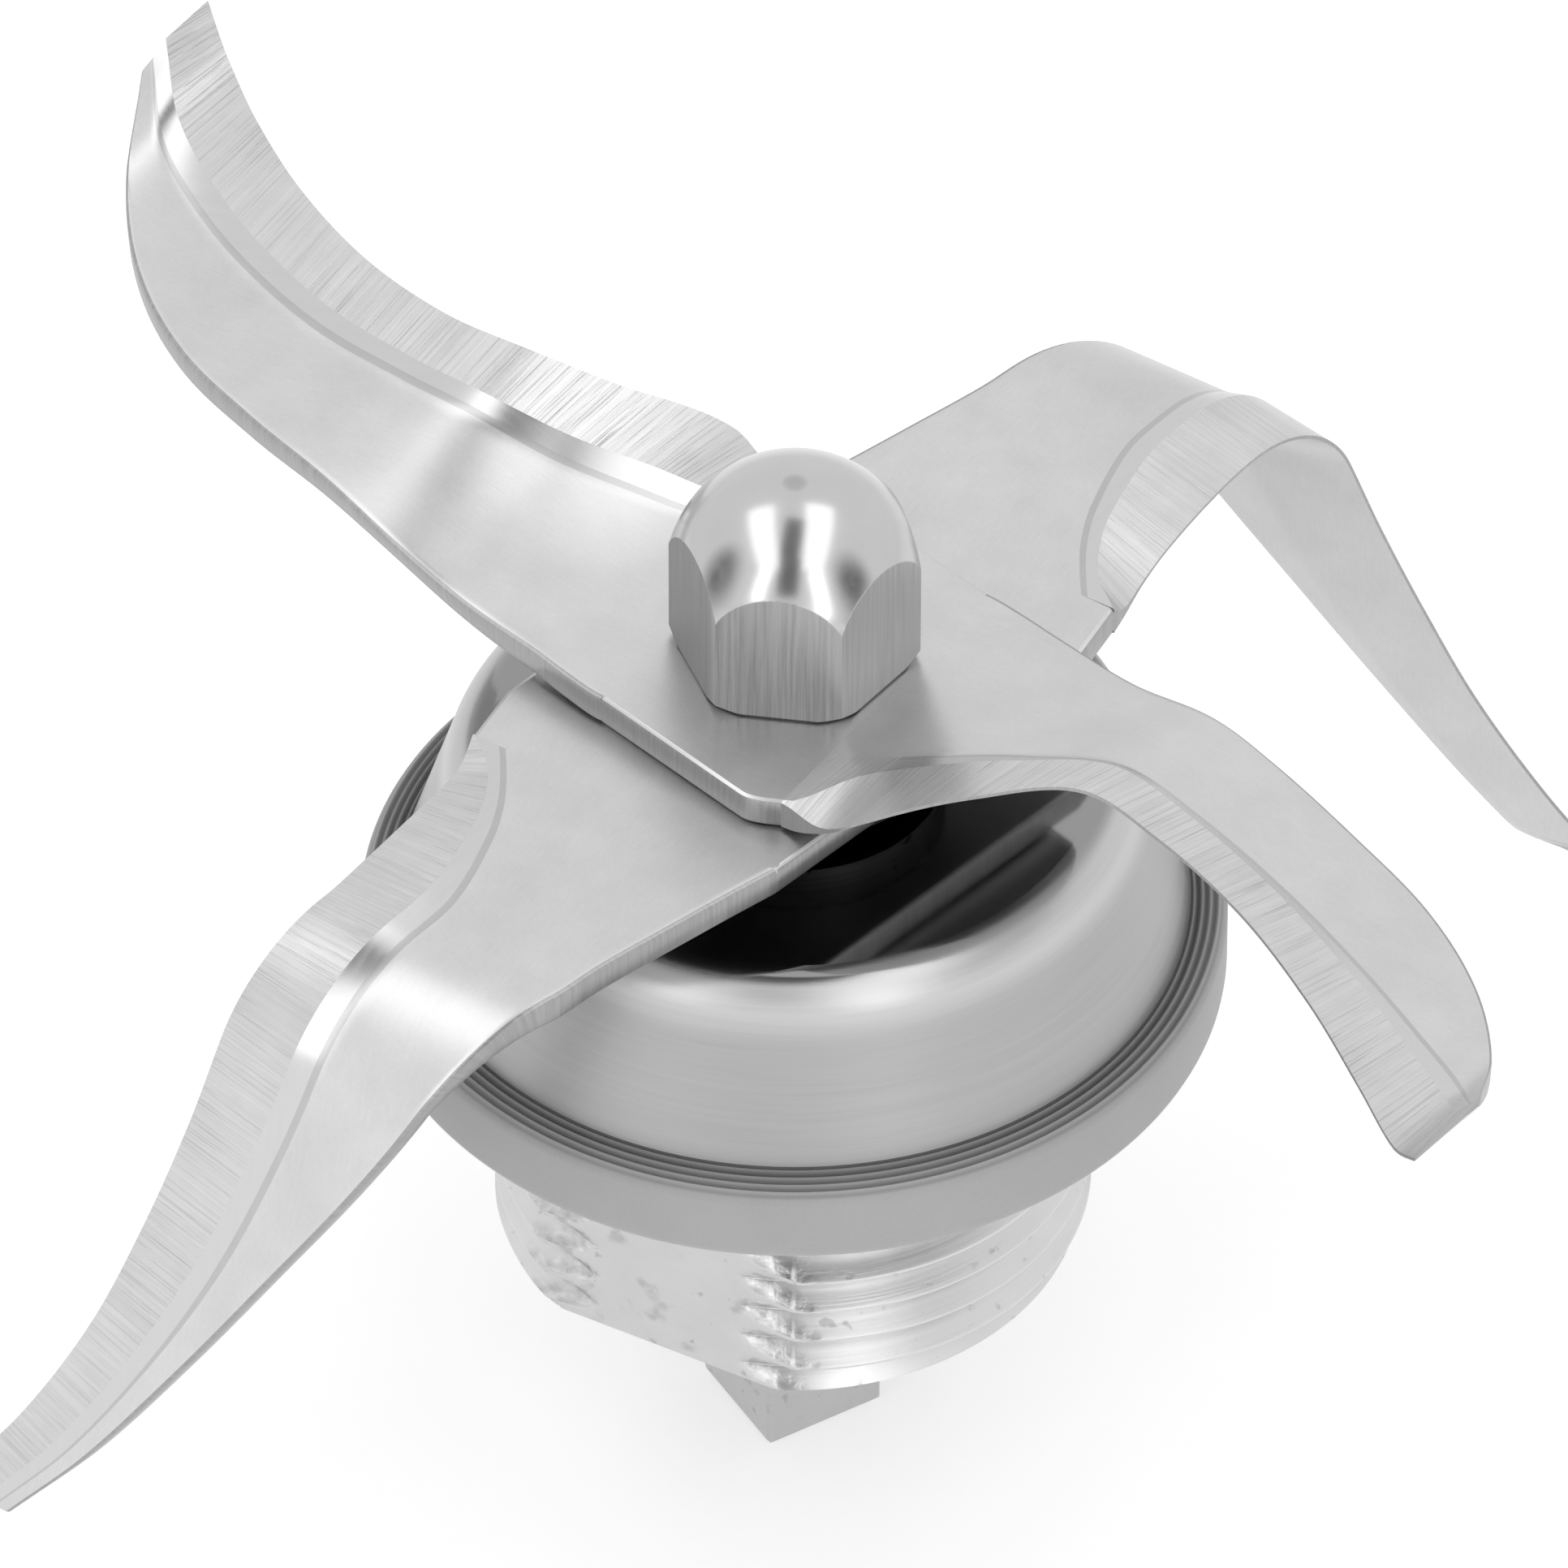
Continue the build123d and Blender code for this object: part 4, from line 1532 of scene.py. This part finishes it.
# strip and groove that the press burnished: fine lines along the arm
DRAW_LINES = (Layer(Course.STRIP, (30.0, 240.0), 3.0, tone=0.04, rough=0.08, relief=1.0),)
RAMP = Layered("burnished_ramp", 0.58, 0.26, 0.0015, DRAW_LINES)
# the groove's lower tone is painted shade in the crease between sheet and ramp
GROOVE = Layered("pressed_groove_painted_shade", 0.47, 0.3, 0.0015, DRAW_LINES)
# sheared side of the sheet: short lines through its thickness; its low tone is partly the dull
# sheared steel and partly painted shade
SHEAR_LINES = (Layer(Course.SIDE, (420.0, 160.0), 3.0, tone=0.2, rough=0.2, relief=1.0),)
SIDE = Layered("sheared_side", 0.35, 0.36, 0.015, SHEAR_LINES)
BLADE_FINISHES = (SHEET, RAMP, GRIND, SIDE, GROOVE)
FLOW_MARKS = (Layer(Course.PLACE, (700.0,), 3.0, tone=1.0, rough=0.15, relief=1.0),)
RESIN = MouldedResin("cage_resin", 0.5, 0.45, 0.01, FLOW_MARKS, metallic=0.0)
LIP = Layered("lip_rubber", 0.02, 0.5, 0.012, rubber(0.01), metallic=0.0)


@dataclass(frozen=True)
class Replacement:
    """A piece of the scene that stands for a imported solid."""

    make: Callable[[], Piece]
    node: str
    body: str
    slot: str

    def place(self) -> None:
        """Builds the piece, hides its solid and rides it on the body."""
        piece = self.make()
        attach(piece, self.body)
        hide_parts(self.node)
        LOG.info("%s stands for %s on %s", piece.name, self.node, self.body)


def main() -> None:
    """Builds the pieces in order and reports each."""
    logging.basicConfig(level=logging.INFO, format="%(name)s: %(message)s")
    bpy.context.scene.view_settings.view_transform = "Standard"
    upper = UpperBlade("upper_blade_ground", UPPER_TURN, UPPER_TOP, finishes=BLADE_FINISHES)
    lower = LowerBlade("lower_blade_ground", LOWER_TURN, LOWER_TOP, finishes=BLADE_FINISHES)
    base = ThreadedBase(NeckAlloy("neck_alloy", 0.66, 0.34))
    seal = SealRing(RidgedSeal("grey_seal", 0.37, 0.55, 0.012, rubber(0.05), metallic=0.0))
    for stand_in in (
        Replacement(upper.build, "upper_blade", "rotor", "blade_steel"),
        Replacement(lower.build, "lower_blade", "rotor", "blade_steel"),
        Replacement(base.build, "threaded_base", "housing", "neck_metal"),
        Replacement(seal.build, "sealing_ring", "housing", "seal_rubber"),
    ):
        stand_in.place()
    for dress in (
        NodeDress(DrawnCup("drawn_cup", 0.4, 0.38), ("seat_cup",)),
        NodeDress(NutSteel("cap_nut_steel", 0.54, 0.34), ("cap_nut",)),
        # painted shade: the collar is made near black for the shade it sits in under the blades
        NodeDress(turned("collar_painted_shade", 0.05, 0.4), ("blade_collar",)),
        NodeDress(
            turned("shaft_steel", 0.52, 0.34),
            ("drive_shaft", "blade_spacer", "inner_spacer", "outer_spacer",
             "seal_spring", "retaining_ring"),
        ),
        NodeDress(
            turned("bearing_steel", 0.6, 0.16, 7000.0, 0.002),
            ("upper_outer_race", "upper_inner_race", "upper_balls", "upper_shields",
             "lower_outer_race", "lower_inner_race", "lower_balls", "lower_shields"),
        ),
        NodeDress(RESIN, ("upper_cage", "lower_cage")),
        NodeDress(LIP, ("shaft_seal",)),
    ):
        dress.apply()
    Studio().build()


if __name__ == "__main__":
    main()
